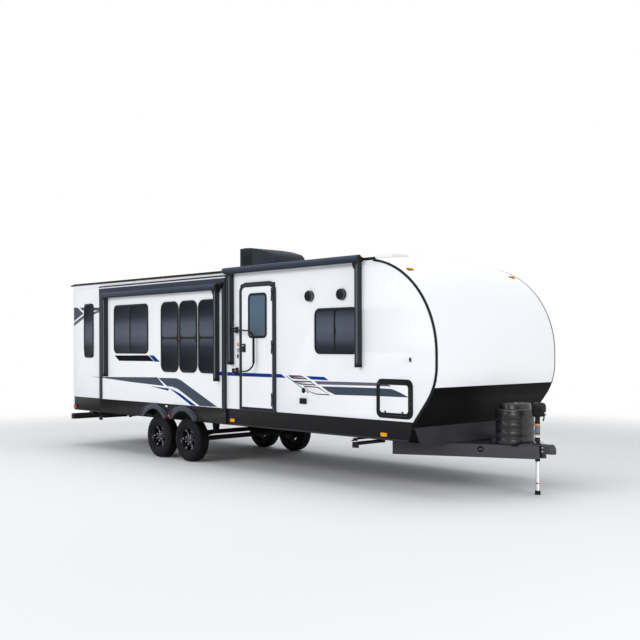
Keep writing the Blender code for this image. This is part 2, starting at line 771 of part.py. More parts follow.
def entry_door():
    gap = CLEAR
    outline = arched_rect(DOOR_INNER[0] + gap, DOOR_INNER[1] - gap, DOOR_INNER[2] + gap,
                          DOOR_INNER[3] - gap, DOOR_RADIUS - DOOR_FRAME_FACE - gap)
    face = DOOR_FACE_Y
    item = place("entry_door", side_slab(DOOR_SIDE, [outline, opening(DOOR_GLASS)],
                                         face - DOOR_THICKNESS, face), WHITE)
    for height in HINGE_HEIGHTS:
        low = height - HINGE_LENGTH / 2 + SEAT
        high = height + HINGE_LENGTH / 2 - SEAT
        join(item, cylinder((HINGE_X, -HINGE_Y, low), (HINGE_X, -HINGE_Y, high), HINGE_RADIUS, 8))
        join(item, box((HINGE_X - 0.034, -HINGE_Y - 0.002, low), (HINGE_X, -face + 0.004, high)))
    latch_x = station(DOOR_REAR_X) + DOOR_FRAME_FACE + gap
    latch = round_rect(latch_x + LATCH_INSET, latch_x + LATCH_INSET + LATCH_SIZE[0],
                       LATCH_Z - LATCH_SIZE[1] / 2, LATCH_Z + LATCH_SIZE[1] / 2, LATCH_INSET, 2)
    join(item, side_slab(DOOR_SIDE, [latch], face - 0.004, face + LATCH_PROUD))
    x0, x1, z0, z1, _ = DOOR_GLASS
    pane = (station(x0) + WINDOW_RIM, station(x1) - WINDOW_RIM, z0 + WINDOW_RIM, z1 - WINDOW_RIM)
    glazing("door_glass", DOOR_SIDE, DOOR_GLASS, face, DOOR_THICKNESS, [pane])


def grab_handle():
    """Bar on two pivots, folded over the door, its arms bowed out to clear the door's edge."""
    reach, bend = HANDLE_REACH, HANDLE_BEND
    curve = arc((reach - bend, HANDLE_TOP_Z - bend), bend, 60, 0, 5)
    route = [(HANDLE_STRAIGHT * i / 3, HANDLE_TOP_Z) for i in range(4)]
    fall = (curve[0][0] - HANDLE_STRAIGHT, curve[0][1] - HANDLE_TOP_Z)
    route += [(HANDLE_STRAIGHT + fall[0] * i / 4, HANDLE_TOP_Z + fall[1] * i / 4) for i in (1, 2, 3)]
    route += curve
    route += arc((reach - bend, HANDLE_BOTTOM_Z + bend), bend, 0, -90, 6)
    straight = reach - bend
    route += [(straight * i / 6, HANDLE_BOTTOM_Z) for i in range(5, -1, -1)]
    points = []
    for u, z in route:
        bow = HANDLE_BOW * (1 - (2 * u / reach - 1) ** 4)
        points.append((u, -bow, z))
    item = place("grab_handle", tube(points, HANDLE_RADIUS, 1), PLASTIC)
    item.location = (station(HANDLE_X), -HALF - HANDLE_STAND, 0.0)
    for height in (HANDLE_TOP_Z, HANDLE_BOTTOM_Z):
        eye = cylinder((0, 0, height - HANDLE_EYE), (0, 0, height + HANDLE_EYE), HANDLE_EYE_RADIUS, 16)
        join(item, moved(eye, Matrix.Translation(item.location)))
    smooth(item)


def handle_brackets(wall):
    """Wall brackets with a fork round each end of the grab handle."""
    x0 = station(HANDLE_X)
    pin_y = HALF + HANDLE_STAND
    for height in (HANDLE_TOP_Z, HANDLE_BOTTOM_Z):
        join(wall, sided_box(DOOR_SIDE, (x0 - 0.028, x0 + 0.028), (HALF - 0.004, HALF + 0.012),
                             (height - 0.045, height + 0.045)))
        for low, high in ((height - 0.036, height - HANDLE_EYE - SEAT),
                          (height + HANDLE_EYE + SEAT, height + 0.036)):
            join(wall, sided_box(DOOR_SIDE, (x0 - 0.018, x0 + 0.018), (HALF + 0.006, pin_y + 0.018),
                                 (low, high)))


BAGGAGE_HINGE_Z = BAGGAGE[3] + BAGGAGE_GAP + BAGGAGE_HINGE_RADIUS
BAGGAGE_HINGE_Y = HALF + BAGGAGE_HINGE_RADIUS + SEAT


def baggage_doors():
    x0, x1, z0, z1, radius = BAGGAGE
    hinge_z, hinge_y = BAGGAGE_HINGE_Z, BAGGAGE_HINGE_Y
    for side, word in ((DOOR_SIDE, "door_side"), (OFF_SIDE, "off_side")):
        face = HALF + BAGGAGE_PROUD
        item = place("baggage_door_" + word,
                     side_slab(side, [opening(BAGGAGE)], face - BAGGAGE_THICKNESS, face), WHITE)
        middle = station((x0 + x1) / 2)
        half = (x1 - x0) / 2 - radius
        join(item, cylinder((middle - half, side * hinge_y, hinge_z),
                            (middle + half, side * hinge_y, hinge_z), BAGGAGE_HINGE_RADIUS, 12))
        join(item, sided_box(side, (middle - half, middle + half), (face - 0.003, hinge_y + 0.004),
                             (z1 - 0.020, hinge_z)))


# Slide-out room

def slide_room():
    rear, front = station(SLIDE_REAR_X), station(SLIDE_FRONT_X)
    near = HALF + SEAT
    face = near + SLIDE_WALL
    names = [name for name in WINDOWS if name.startswith("window_slide")]
    outline = rect(rear, front, BELLY_Z, SLIDE_TOP_Z)
    item = place("slide_wall", side_slab(DOOR_SIDE, [outline] + [opening(WINDOWS[n]) for n in names],
                                         near, face), WHITE)
    inner = [(rear + SLIDE_TRIM, BELLY_Z), (rear + SLIDE_TRIM, SLIDE_TOP_Z - SLIDE_TRIM),
             (front - SLIDE_TRIM, SLIDE_TOP_Z - SLIDE_TRIM), (front - SLIDE_TRIM, BELLY_Z)]
    trim = [(rear, BELLY_Z), (rear, SLIDE_TOP_Z), (front, SLIDE_TOP_Z), (front, BELLY_Z)]
    join(item, side_slab(DOOR_SIDE, [trim + list(reversed(inner))], near + SLIDE_WALL / 2,
                         near + SLIDE_TRIM_PROUD))
    arched_skirt("slide_skirt", DOOR_SIDE, rear, front, BELLY_Z - SEAT, near, face)
    low = DECK_TOP_Z + CLEAR
    box_rear = SLIDE_HOLE[0] + CLEAR
    box_front = SLIDE_HOLE[1] - CLEAR
    top = SLIDE_HOLE[2] - CLEAR
    outer = rect(box_rear, box_front, low, top)
    hollow = rect(box_rear + SLIDE_BOX_SHELL, box_front - SLIDE_BOX_SHELL, low + SLIDE_BOX_SHELL,
                  top - SLIDE_BOX_SHELL)
    place("slide_box", side_slab(DOOR_SIDE, [outer, hollow], HALF - SLIDE_BOX_DEPTH, HALF), WHITE)
    for name in names:
        window(name, DOOR_SIDE, face, SLIDE_WALL)


# Awnings

def awning(name, span, arms, foot_z, wall_face, stand):
    """Roller held off the wall by an arm at each end."""
    rear, front, height = station(span[0]), station(span[1]), span[2]
    roller_y = wall_face + stand + AWNING_ROLLER_RADIUS * 0.4
    item = place(name, cylinder((rear, -roller_y, height), (front, -roller_y, height),
                                AWNING_ROLLER_RADIUS, 20), SLATE)
    for arm in arms:
        x0 = station(arm)
        join(item, sided_box(DOOR_SIDE, (x0, x0 + AWNING_ARM_WIDTH),
                             (wall_face + SEAT, wall_face + AWNING_ARM_DEPTH), (foot_z, height)))
    join(item, sided_box(DOOR_SIDE, (rear + 0.01, front - 0.01), (wall_face + SEAT, wall_face + 0.022),
                         (height - 0.030, height + 0.012)))
    join(item, sided_box(DOOR_SIDE, (rear + 0.01, front - 0.01), (wall_face + SEAT, roller_y),
                         (height - 0.008, height + 0.008)))
    return item


# Roof equipment

def ac_unit():
    """Moulded housing with its height towards the rear, a round nose and louvres."""
    front = station(AC_FRONT_X)
    base = ROOF_EDGE_Z + ROOF_CROWN + SEAT
    top = base + AC_HEIGHT
    rear = front - AC_LENGTH
    silhouette = [(rear, base), (front, base)]
    silhouette += arc((front - AC_NOSE_RADIUS, base + AC_NOSE_Z), AC_NOSE_RADIUS, 0, 78, 5)
    silhouette += [(rear + AC_LENGTH * share, top + drop) for share, drop in AC_BACK]
    item = place("ac_unit", slab([silhouette], "xz", -AC_WIDTH / 2, AC_WIDTH / 2), PLASTIC)
    bevel(item, 0.030, 2, 30)
    for side in (DOOR_SIDE, OFF_SIDE):
        for i in range(AC_LOUVRES):
            z = base + 0.080 + i * AC_LOUVRE_PITCH
            cut(item, sided_box(side, (rear + 0.070, rear + 0.290), (AC_WIDTH / 2 - 0.018, AC_WIDTH),
                                (z, z + AC_LOUVRE)))
    smooth(item)


def roof_vent():
    base = ROOF_EDGE_Z + ROOF_CROWN + SEAT
    x0 = station(VENT_X)

    def square(grow):
        half = VENT_SIZE / 2 + grow
        return round_rect(x0 - half, x0 + half, -half, half, 0.05 + grow, 3)

    sections = [(base, 0.020), (base + 0.012, 0.020), (base + 0.013, -0.014), (base + 0.045, -0.014),
                (base + 0.046, 0.0), (base + 0.070, -0.002), (base + VENT_HEIGHT, -0.036)]
    smooth(place("roof_vent", layered(square, sections), ROOFING))


# Frame

def main_rail(name, side):
    """I-section rail with outriggers, a stabiliser bracket near each end."""
    half = RAIL_TOP_WIDTH / 2
    web = RAIL_WEB / 2
    y0 = side * RAIL_Y
    low_tip, low_root = RAIL_BOTTOM_Z + RAIL_FLANGE * 0.7, RAIL_BOTTOM_Z + RAIL_FLANGE
    top_tip, top_root = RAIL_TOP_Z - RAIL_FLANGE * 0.7, RAIL_TOP_Z - RAIL_FLANGE
    section = [(-half, RAIL_BOTTOM_Z), (half, RAIL_BOTTOM_Z), (half, low_tip), (web, low_root),
               (web, top_root), (half, top_tip), (half, RAIL_TOP_Z), (-half, RAIL_TOP_Z),
               (-half, top_tip), (-web, top_root), (-web, low_root), (-half, low_tip)]
    rail_front = BELLY_FRONT_X - 0.003 - APRON_SHEET - SEAT
    item = place(name, slab([[(y0 + u, v) for u, v in section]], "yz", BODY_REAR_X, rail_front), FRAME)
    tip = HALF - SKIRT_SHEET - SEAT
    high = RAIL_TOP_Z - RAIL_FLANGE / 2
    outline = [(RAIL_Y, high), (tip, high), (tip, high - OUTRIGGER_TIP_HEIGHT),
               (RAIL_Y, RAIL_BOTTOM_Z + 0.030)]
    wells = [station(wheel) for wheel in WHEEL_X]
    count = int(BODY_LENGTH / OUTRIGGER_SPACING)
    for i in range(count):
        x = BODY_REAR_X + 0.30 + i * OUTRIGGER_SPACING
        near_wheel = min(abs(x - well) for well in wells) < TYRE_RADIUS + 0.10
        if near_wheel or x > rail_front - 0.10:
            continue
        join(item, slab([[(side * u, v) for u, v in outline]], "yz", x, x + OUTRIGGER_THICKNESS))
    outer = STABILISER_PIVOT_Y + STABILISER_LENGTH - STABILISER_PLATE
    for where in STABILISER_X:
        x = station(where)
        join(item, sided_box(side, (x - STABILISER_BRACKET, x + STABILISER_BRACKET),
                             (STABILISER_PIVOT_Y - 0.034, outer + STABILISER_PLATE + 0.004),
                             (RAIL_BOTTOM_Z - 0.012, RAIL_BOTTOM_Z + 0.003)))
        for lean in (-1, 1):
            near = STABILISER_WIDTH / 2 + SEAT
            ear = sorted((x + lean * near, x + lean * (near + STABILISER_EAR)))
            join(item, sided_box(side, ear, (STABILISER_PIVOT_Y - 0.030, STABILISER_PIVOT_Y + 0.030),
                                 (STABILISER_PIVOT_Z - 0.020, RAIL_BOTTOM_Z - 0.005)))
        nut, screw_z = outer + STABILISER_PLATE, STABILISER_PIVOT_Z + STABILISER_SCREW_RISE
        join(item, cylinder((x, side * (nut - 0.015), screw_z),
                            (x, side * (nut + STABILISER_SCREW_REACH), screw_z), STABILISER_SCREW, 6))
        join(item, sided_box(side, (x - 0.020, x + 0.020), (nut - 0.025, nut),
                             (screw_z - STABILISER_SCREW - 0.001, RAIL_BOTTOM_Z - 0.005)))
    return item


def underbelly():
    """Sheet closed under the floor between the rails."""
    half = RAIL_Y - RAIL_TOP_WIDTH / 2 - SEAT
    front = BELLY_FRONT_X - 0.003 - APRON_SHEET - SEAT
    place("underbelly", box((BODY_REAR_X, -half, UNDERBELLY_Z),
                            (front, half, UNDERBELLY_Z + UNDERBELLY_SHEET)), PLASTIC)


def a_frame():
    """Two hollow-section rails that meet at the coupler."""
    front = Vector((station(A_RAIL_FRONT[0]), A_RAIL_FRONT[1], 0))
    back = Vector((station(A_RAIL_BACK_X), RAIL_Y + 0.030, 0))
    along = (front - back).normalized()
    across = Vector((-along.y, along.x, 0)) * (A_RAIL_WIDTH / 2)
    for side, word in ((DOOR_SIDE, "door_side"), (OFF_SIDE, "off_side")):
        corners = [front + across, front - across, back - across, back + across]
        loop = [(p.x, side * p.y) for p in corners]
        place("a_frame_rail_" + word, slab([loop], "xy", A_RAIL_BOTTOM_Z, A_RAIL_TOP_Z), FRAME)


def coupler():
    """Plate over the A-frame's point with the ball socket ahead of it."""
    low = A_RAIL_TOP_Z + SEAT
    high = low + TONGUE_PLATE
    tip = station(TONGUE_REACH)
    head_x = tip - COUPLER_HEAD_RADIUS
    back = station(COVER_X) + COVER_LENGTH / 2 + CLEAR
    plate = [(back, -PLATE_HALF_WIDTH), (station(A_RAIL_FRONT[0]) + 0.010, -0.070), (head_x, -0.045),
             (head_x, 0.045), (station(A_RAIL_FRONT[0]) + 0.010, 0.070), (back, PLATE_HALF_WIDTH)]
    hole = arc((station(JACK_X), 0.0), JACK_TUBE_RADIUS + SEAT, 0, 345, 23)
    item = place("coupler", slab([plate, hole], "xy", low, high), FRAME)
    body_rear = station(A_RAIL_FRONT[0]) + 0.020
    head_low, socket_top = COUPLER_HEAD_Z - 0.045, COUPLER_HEAD_Z + 0.022
    join(item, box((body_rear, -0.048, head_low), (head_x, 0.048, high - 0.002)))
    join(item, cylinder((head_x, 0, head_low), (head_x, 0, COUPLER_HEAD_Z + 0.020), COUPLER_HEAD_RADIUS, 24))
    join(item, cylinder((head_x, 0, COUPLER_HEAD_Z + 0.019), (head_x, 0, high + 0.006),
                        COUPLER_HEAD_RADIUS, 24, 0.030))
    cut(item, cylinder((head_x, 0, head_low - 0.035), (head_x, 0, socket_top), BALL_SOCKET_RADIUS, 24))


def rear_bumper():
    rear = REAR_X - BUMPER_REACH
    low = BUMPER_BOTTOM_Z
    item = place("rear_bumper", box((rear, -BUMPER_HALF_WIDTH, low),
                                    (rear + BUMPER_SIZE, BUMPER_HALF_WIDTH, low + BUMPER_SIZE)), FRAME)
    bevel(item, 0.008, 2)
    for side in (DOOR_SIDE, OFF_SIDE):
        join(item, sided_box(side, (rear + BUMPER_SIZE - 0.020, BODY_REAR_X + BUMPER_ARM),
                             (RAIL_Y - 0.025, RAIL_Y + 0.025), (low + 0.030, RAIL_BOTTOM_Z - SEAT)))


# Running gear

def axles():
    for wheel, word in zip(WHEEL_X, ("front", "rear")):
        x = station(wheel)
        end = HUB_INNER_Y - SEAT
        beam = cylinder((x, -end, TYRE_RADIUS), (x, end, TYRE_RADIUS), AXLE_RADIUS, 20)
        item = place("axle_" + word, beam, FRAME)
        for side in (DOOR_SIDE, OFF_SIDE):
            join(item, sided_box(side, (x - 0.050, x + 0.050), (RAIL_Y - 0.030, RAIL_Y + 0.030),
                                 (TYRE_RADIUS - AXLE_RADIUS / 4, TYRE_RADIUS + AXLE_RADIUS + AXLE_SEAT)))


def leaf_loop(wheel):
    """Leaf pack from eye to eye, resting on the axle's seat."""
    x = station(wheel)
    seat_z = TYRE_RADIUS + AXLE_RADIUS + AXLE_SEAT + SEAT
    steps = 6
    lower, upper = [], []
    for i in range(steps + 1):
        t = 2 * i / steps - 1
        rise = (SPRING_EYE_Z - seat_z - LEAF_PACK / 2) * t * t
        pack = LEAF_PACK * (1 - 0.6 * abs(t))
        lower.append((x + t * SPRING_HALF_SPAN, seat_z + rise + (LEAF_PACK - pack) / 2 * abs(t)))
        upper.append((x + t * SPRING_HALF_SPAN, seat_z + rise + (LEAF_PACK - pack) / 2 * abs(t) + pack))
    return lower + list(reversed(upper))


def suspension():
    """Two leaf packs a side on hangers, with the equaliser between them."""
    middle = station((WHEEL_X[0] + WHEEL_X[1]) / 2)
    ends = (station(WHEEL_X[0]) + SPRING_HALF_SPAN, station(WHEEL_X[1]) - SPRING_HALF_SPAN)
    inner = (station(WHEEL_X[0]) - SPRING_HALF_SPAN, station(WHEEL_X[1]) + SPRING_HALF_SPAN)
    top = RAIL_BOTTOM_Z - SEAT
    for side, word in ((DOOR_SIDE, "door_side"), (OFF_SIDE, "off_side")):
        near, far = RAIL_Y - LEAF_WIDTH / 2, RAIL_Y + LEAF_WIDTH / 2
        item = place("suspension_" + word, side_slab(side, [leaf_loop(WHEEL_X[0])], near, far), FRAME)
        join(item, side_slab(side, [leaf_loop(WHEEL_X[1])], near, far), "MANIFOLD")
        for x in ends + inner:
            join(item, cylinder((x, side * (near - 0.010), SPRING_EYE_Z),
                                (x, side * (far + 0.010), SPRING_EYE_Z), SPRING_EYE_RADIUS, 8), "MANIFOLD")
        for x in ends + (middle,):
            low_z = SPRING_EYE_Z - (0.030 if x != middle else -0.010)
            outline = [(x - 0.055, top), (x - 0.028, low_z), (x + 0.028, low_z), (x + 0.055, top)]
            for a, b in ((near - 0.008, near - 0.001), (far + 0.001, far + 0.008)):
                join(item, side_slab(side, [outline], a, b), "MANIFOLD")
            head = rect(x - 0.055, x + 0.055, top - 0.008, top)
            join(item, side_slab(side, [head], near - 0.008, far + 0.008), "MANIFOLD")
        pivot = SPRING_EYE_Z + 0.045
        rocker = [(inner[0] + 0.022, SPRING_EYE_Z - 0.020), (inner[0] + 0.022, SPRING_EYE_Z + 0.016),
                  (middle, pivot + 0.030), (inner[1] - 0.022, SPRING_EYE_Z + 0.016),
                  (inner[1] - 0.022, SPRING_EYE_Z - 0.020), (middle, pivot - 0.020)]
        join(item, side_slab(side, [rocker], RAIL_Y - 0.012, RAIL_Y + 0.012), "MANIFOLD")
        join(item, cylinder((middle, side * (near - 0.014), pivot),
                            (middle, side * (far + 0.014), pivot), 0.012, 6), "MANIFOLD")


def spoke_window(turn):
    """Sector between two spokes, in the wheel's own plane."""
    inner, outer = SPOKE_WINDOW
    half = 180 / SPOKE_COUNT
    reach = [half - math.degrees(math.asin(SPOKE_WIDTH / 2 / radius)) for radius in SPOKE_WINDOW]
    loop = arc((0, 0), outer, turn - reach[1], turn + reach[1], 3)
    loop += arc((0, 0), inner, turn + reach[0], turn - reach[0], 1)
    return slab([loop], "xy", SPOKE_BACK - CLEAR, RIM_HUB_PROUD)


def wheel(word, x, side):
    """Tyre and spoked rim, turned about the hub's axis, outboard along local +Z."""
    mid_y = TYRE_FACE_Y - TYRE_WIDTH / 2
    half = TYRE_WIDTH / 2
    r = TYRE_RADIUS
    outer = [(RIM_RADIUS + SEAT, half * 0.80), (RIM_RADIUS + 0.022, half * 0.97),
             (r - TYRE_SHOULDER, half), (r - TYRE_SHOULDER / 4, half * 0.90), (r, half * 0.62)]
    profile = outer + [(radius, -height) for radius, height in reversed(outer)]
    turn = Matrix.Rotation(-side * math.pi / 2, 4, "X")
    at = Matrix.Translation((station(x), side * mid_y, TYRE_RADIUS))
    tyre = turned("tyre_" + word, profile, RUBBER, WHEEL_STEPS, closed=True)
    tyre.matrix_world = at @ turn
    smooth(tyre)
    lip = half * 0.86
    hub_back = HUB_INNER_Y - mid_y
    inner, outer = SPOKE_WINDOW
    shell = RIM_RADIUS - RIM_SHEET
    profile = [(0.0, RIM_HUB_PROUD), (HUB_CAP_RADIUS, RIM_HUB_PROUD), (HUB_CAP_RADIUS, SPOKE_FRONT + 0.012),
               (shell, SPOKE_FRONT), (shell, lip), (RIM_RADIUS, lip), (RIM_RADIUS, -lip), (shell, -lip),
               (shell, SPOKE_BACK), (inner - RIM_SHEET, SPOKE_BACK), (DRUM_RADIUS, DRUM_FACE),
               (DRUM_RADIUS, hub_back), (0.0, hub_back)]
    rim = turned("rim_" + word, profile, RIM, WHEEL_STEPS)
    rim.matrix_world = at @ turn
    for i in range(SPOKE_COUNT):
        cut(rim, moved(spoke_window(360 * i / SPOKE_COUNT), rim.matrix_world))
    smooth(rim)


def wheels():
    for x, end in zip(WHEEL_X, ("front", "rear")):
        for side, word in ((DOOR_SIDE, "door"), (OFF_SIDE, "off")):
            wheel(word + "_" + end, x, side)


# Tongue equipment

def jack():
    x = station(JACK_X)
    low, high = JACK_TUBE_BOTTOM_Z, JACK_TUBE_TOP_Z
    item = place("jack_body", cylinder((x, 0, low), (x, 0, high), JACK_TUBE_RADIUS, 24), PLASTIC)
    flange_low = A_RAIL_TOP_Z + 2 * SEAT + TONGUE_PLATE
    join(item, cylinder((x, 0, flange_low), (x, 0, flange_low + 0.010), 0.055, 24))

    def oval(grow):
        half, round_half = 0.050 + grow, 0.052 + grow
        corner = min(round_half, 0.045) * 0.98
        return round_rect(x - half - 0.018, x + half + 0.040, -round_half, round_half, corner, 4)

    sections = [(high - 0.030, -0.010), (high - 0.010, 0.0), (JACK_HEAD_TOP_Z - 0.040, 0.0),
                (JACK_HEAD_TOP_Z - 0.012, -0.008), (JACK_HEAD_TOP_Z, -0.024)]
    join(item, layered(oval, sections))
    bore_top = JACK_LEG_TOP_Z + JACK_TRAVEL + 0.010
    cut(item, cylinder((x, 0, low - 0.01), (x, 0, bore_top), JACK_LEG_RADIUS + SEAT, 24))
    smooth(item)
    bar = cylinder((x, 0, JACK_FOOT_HEIGHT - 0.01), (x, 0, JACK_LEG_TOP_Z), JACK_LEG_RADIUS, 24)
    leg = place("jack_leg", bar, STEEL)
    join(leg, cylinder((x, 0, 0), (x, 0, JACK_FOOT_HEIGHT), JACK_FOOT_RADIUS, 24))
    smooth(leg)


def lp_cover():
    """Oval cover over two gas bottles, with grooves round it and a raised lid."""
    x0 = station(COVER_X)
    base = A_RAIL_TOP_Z + SEAT
    half_x, half_y = COVER_LENGTH / 2, COVER_WIDTH / 2

    def oval(grow):
        return round_rect(x0 - half_x - grow, x0 + half_x + grow, -half_y - grow, half_y + grow,
                          half_x * 0.96 + grow, 4)

    height = COVER_TOP_Z - base
    sections = [(base, -0.012), (base + 0.020, 0.0)]
    for share in COVER_GROOVES:
        z = base + height * share
        sections += [(z - COVER_GROOVE, 0.0), (z, -COVER_GROOVE), (z + COVER_GROOVE, 0.0)]
    sections += [(base + height * share, grow) for share, grow in COVER_LID]
    smooth(place("lp_cover", layered(oval, sections), PLASTIC), 30)


def stabiliser_legs():
    """Channel legs folded up flat under the brackets, each with its foot at the outer end."""
    for where, end in zip(STABILISER_X, ("front", "rear")):
        x = station(where)
        for side, word in ((DOOR_SIDE, "door"), (OFF_SIDE, "off")):
            inner, outer = STABILISER_PIVOT_Y, STABILISER_PIVOT_Y + STABILISER_LENGTH
            z0, half = STABILISER_PIVOT_Z, STABILISER_HEIGHT / 2
            outline = arc((inner, z0), half, 90, 270, 6)
            outline += [(outer - 0.060, z0 - half), (outer, z0 - half * 0.5),
                        (outer, z0 + half * 0.5), (outer - 0.060, z0 + half)]
            loop = [(side * u, v) for u, v in outline]
            item = place("stabiliser_leg_%s_%s" % (word, end),
                         slab([loop], "yz", x - STABILISER_WIDTH / 2, x + STABILISER_WIDTH / 2), FRAME)
            foot = (z0 - STABILISER_FOOT, z0 + half)
            join(item, sided_box(side, (x - STABILISER_FOOT, x + STABILISER_FOOT), (outer - 0.012, outer), foot))


def fixed_windows():
    for name in WINDOWS:
        if name.startswith("window_slide"):
            continue
        window(name, OFF_SIDE if "_off_" in name else DOOR_SIDE, HALF, WINDOW_DEPTH)


def hung(name, pivot, members):
    """Empty on a joint's axis that carries the pieces moving about it."""
    carrier = place(name, None, None)
    carrier.location = pivot
    for member in members:
        item = bpy.data.objects[member]
        item.parent = carrier
        item.matrix_parent_inverse = Matrix.Translation([-value for value in pivot])


def pivots():
    """Carriers for the slide-out room, doors, jack leg and stabiliser legs."""
    middle = station((SLIDE_REAR_X + SLIDE_FRONT_X) / 2)
    slide_nodes = ["slide_box", "slide_wall", "slide_skirt", "slide_awning"]
    slide_nodes += [name for name in WINDOWS if name.startswith("window_slide")]
    hung("slide_room_carrier", (middle, -HALF, DECK_TOP_Z), slide_nodes)
    hung("entry_door_hinge", (HINGE_X, -HINGE_Y, HINGE_HEIGHTS[1]), ("entry_door", "door_glass"))
    hung("jack_leg_carrier", (station(JACK_X), 0.0, 0.0), ("jack_leg",))
    for side, word in ((DOOR_SIDE, "door"), (OFF_SIDE, "off")):
        door = "baggage_door_%s_side" % word
        at = (station((BAGGAGE[0] + BAGGAGE[1]) / 2), side * BAGGAGE_HINGE_Y, BAGGAGE_HINGE_Z)
        hung(door + "_hinge", at, (door,))
        for where, end in zip(STABILISER_X, ("front", "rear")):
            leg = "stabiliser_leg_%s_%s" % (word, end)
            hung(leg + "_pin", (station(where), side * STABILISER_PIVOT_Y, STABILISER_PIVOT_Z), (leg,))


front_cap()
front_apron()
side_walls()
rear_wall()
roof()
floor_deck()
body_skirts()
fixed_windows()
door_frame()
entry_door()
grab_handle()
baggage_doors()
slide_room()
awning("main_awning", MAIN_AWNING, MAIN_AWNING_ARMS, MAIN_AWNING_FOOT_Z, HALF, AWNING_STAND)
awning("slide_awning", SLIDE_AWNING, SLIDE_AWNING_ARMS, SLIDE_AWNING_FOOT_Z,
       HALF + SEAT + SLIDE_WALL, SLIDE_AWNING_STAND)
ac_unit()
roof_vent()
main_rail("main_rail_door_side", DOOR_SIDE)
main_rail("main_rail_off_side", OFF_SIDE)
underbelly()
a_frame()
coupler()
rear_bumper()
axles()
suspension()
wheels()
jack()
lp_cover()
stabiliser_legs()
pivots()
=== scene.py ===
"""Finishes and fine pieces of the travel trailer, in metres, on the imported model's frame."""

import math

import bmesh
import bpy
from mathutils import Matrix, Vector


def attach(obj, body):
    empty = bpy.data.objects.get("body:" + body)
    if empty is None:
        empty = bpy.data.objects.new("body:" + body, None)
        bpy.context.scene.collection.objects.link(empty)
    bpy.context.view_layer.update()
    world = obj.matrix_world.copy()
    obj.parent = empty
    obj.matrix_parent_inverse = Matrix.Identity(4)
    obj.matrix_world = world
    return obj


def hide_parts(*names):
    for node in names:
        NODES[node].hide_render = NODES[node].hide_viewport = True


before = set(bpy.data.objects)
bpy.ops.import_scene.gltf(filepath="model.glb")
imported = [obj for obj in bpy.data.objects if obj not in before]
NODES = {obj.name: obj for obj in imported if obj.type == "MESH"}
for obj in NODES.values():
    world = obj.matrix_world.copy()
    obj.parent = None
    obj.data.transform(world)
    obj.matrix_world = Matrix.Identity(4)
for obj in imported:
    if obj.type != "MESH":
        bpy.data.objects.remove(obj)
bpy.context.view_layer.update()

# Sizes of the body that the fine pieces follow
HALF = 1.219
NOSE_X = 3.9305
REAR_X = NOSE_X - 8.529
BELLY_Z = 0.881
SKIRT_BOTTOM_Z = 0.646
ROOF_EDGE_Z = 2.864
CAP_RADIUS = 1.175
CAP_CENTRE_Z = 1.700
CHIN_TOP_Z = 1.560
CHIN_RADIUS = 0.710
CHIN_TURN = math.radians(37.6)
ROOF_TURN = 82.16
SPLIT_TURN = 21.4
ROOF_CROWN = 0.076
CAP_BOTTOM_Z = 0.820
SLIDE_FACE = HALF + 0.0203
DOOR_FACE = HALF + 0.020
HATCH_FACE = HALF + 0.006
DOOR_SIDE = -1
OFF_SIDE = 1
SLIDE = "slide_room"
DOOR = "entry_door"
WHEELS = (("front", NOSE_X - 5.055), ("rear", NOSE_X - 5.860))
SIDES = ((DOOR_SIDE, "door"), (OFF_SIDE, "off"))
WHEEL_Z = 0.340
WHEEL_Y = 1.0675


def station(x):
    """World X of a place given from the nose of the body."""
    return NOSE_X + x


def span(first, last):
    return station(first), station(last)


# Materials

DUST = (0.30, 0.27, 0.23, 1.0)
DUST_HEIGHTS = (0.15, 0.95)


def new_material(name, colour, **inputs):
    """Material whose shader's inputs are given by name."""
    made = bpy.data.materials.new(name)
    made.use_nodes = True
    made.diffuse_color = (*colour, 1.0)
    shader = made.node_tree.nodes["Principled BSDF"]
    for key, value in inputs.items():
        shader.inputs[key.replace("_", " ")].default_value = value
    return made, made.node_tree, shader


def node(tree, kind, **values):
    made = tree.nodes.new(kind)
    for key, value in values.items():
        if hasattr(made, key):
            setattr(made, key, value)
        else:
            made.inputs[key.replace("_", " ")].default_value = value
    return made


def noise(tree, scale, detail=4.0, stretch=(1, 1, 1)):
    """Noise over the object's own coordinates."""
    place = node(tree, "ShaderNodeTexCoord")
    mapping = node(tree, "ShaderNodeMapping", Scale=stretch)
    made = node(tree, "ShaderNodeTexNoise", Scale=scale, Detail=detail)
    tree.links.new(place.outputs["Object"], mapping.inputs["Vector"])
    tree.links.new(mapping.outputs["Vector"], made.inputs["Vector"])
    return made.outputs["Fac"]


def waves(tree, scale, axis):
    """Bands across one of the object's own axes."""
    place = node(tree, "ShaderNodeTexCoord")
    made = node(tree, "ShaderNodeTexWave", Scale=scale, bands_direction=axis)
    tree.links.new(place.outputs["Object"], made.inputs["Vector"])
    return made.outputs["Fac"]


def along_axis(tree, axis):
    """One of the object's own coordinates."""
    place = node(tree, "ShaderNodeTexCoord")
    split = node(tree, "ShaderNodeSeparateXYZ")
    tree.links.new(place.outputs["Object"], split.inputs["Vector"])
    return split.outputs[axis]


def ranged(tree, value, low, high, start=0.3, end=0.7):
    """A value between start and end brought to between low and high."""
    made = node(tree, "ShaderNodeMapRange", From_Min=start, From_Max=end, To_Min=low, To_Max=high)
    tree.links.new(value, made.inputs["Value"])
    return made.outputs["Result"]


def tinted(colour, factor):
    return tuple(min(1.0, channel * factor) for channel in colour) + (1.0,)


def blend_colours(tree, factor, first, second):
    mix = node(tree, "ShaderNodeMix", data_type="RGBA")
    tree.links.new(factor, mix.inputs["Factor"])
    for value, socket in ((first, mix.inputs["A"]), (second, mix.inputs["B"])):
        if isinstance(value, tuple):
            socket.default_value = value
        else:
            tree.links.new(value, socket)
    return mix.outputs["Result"]


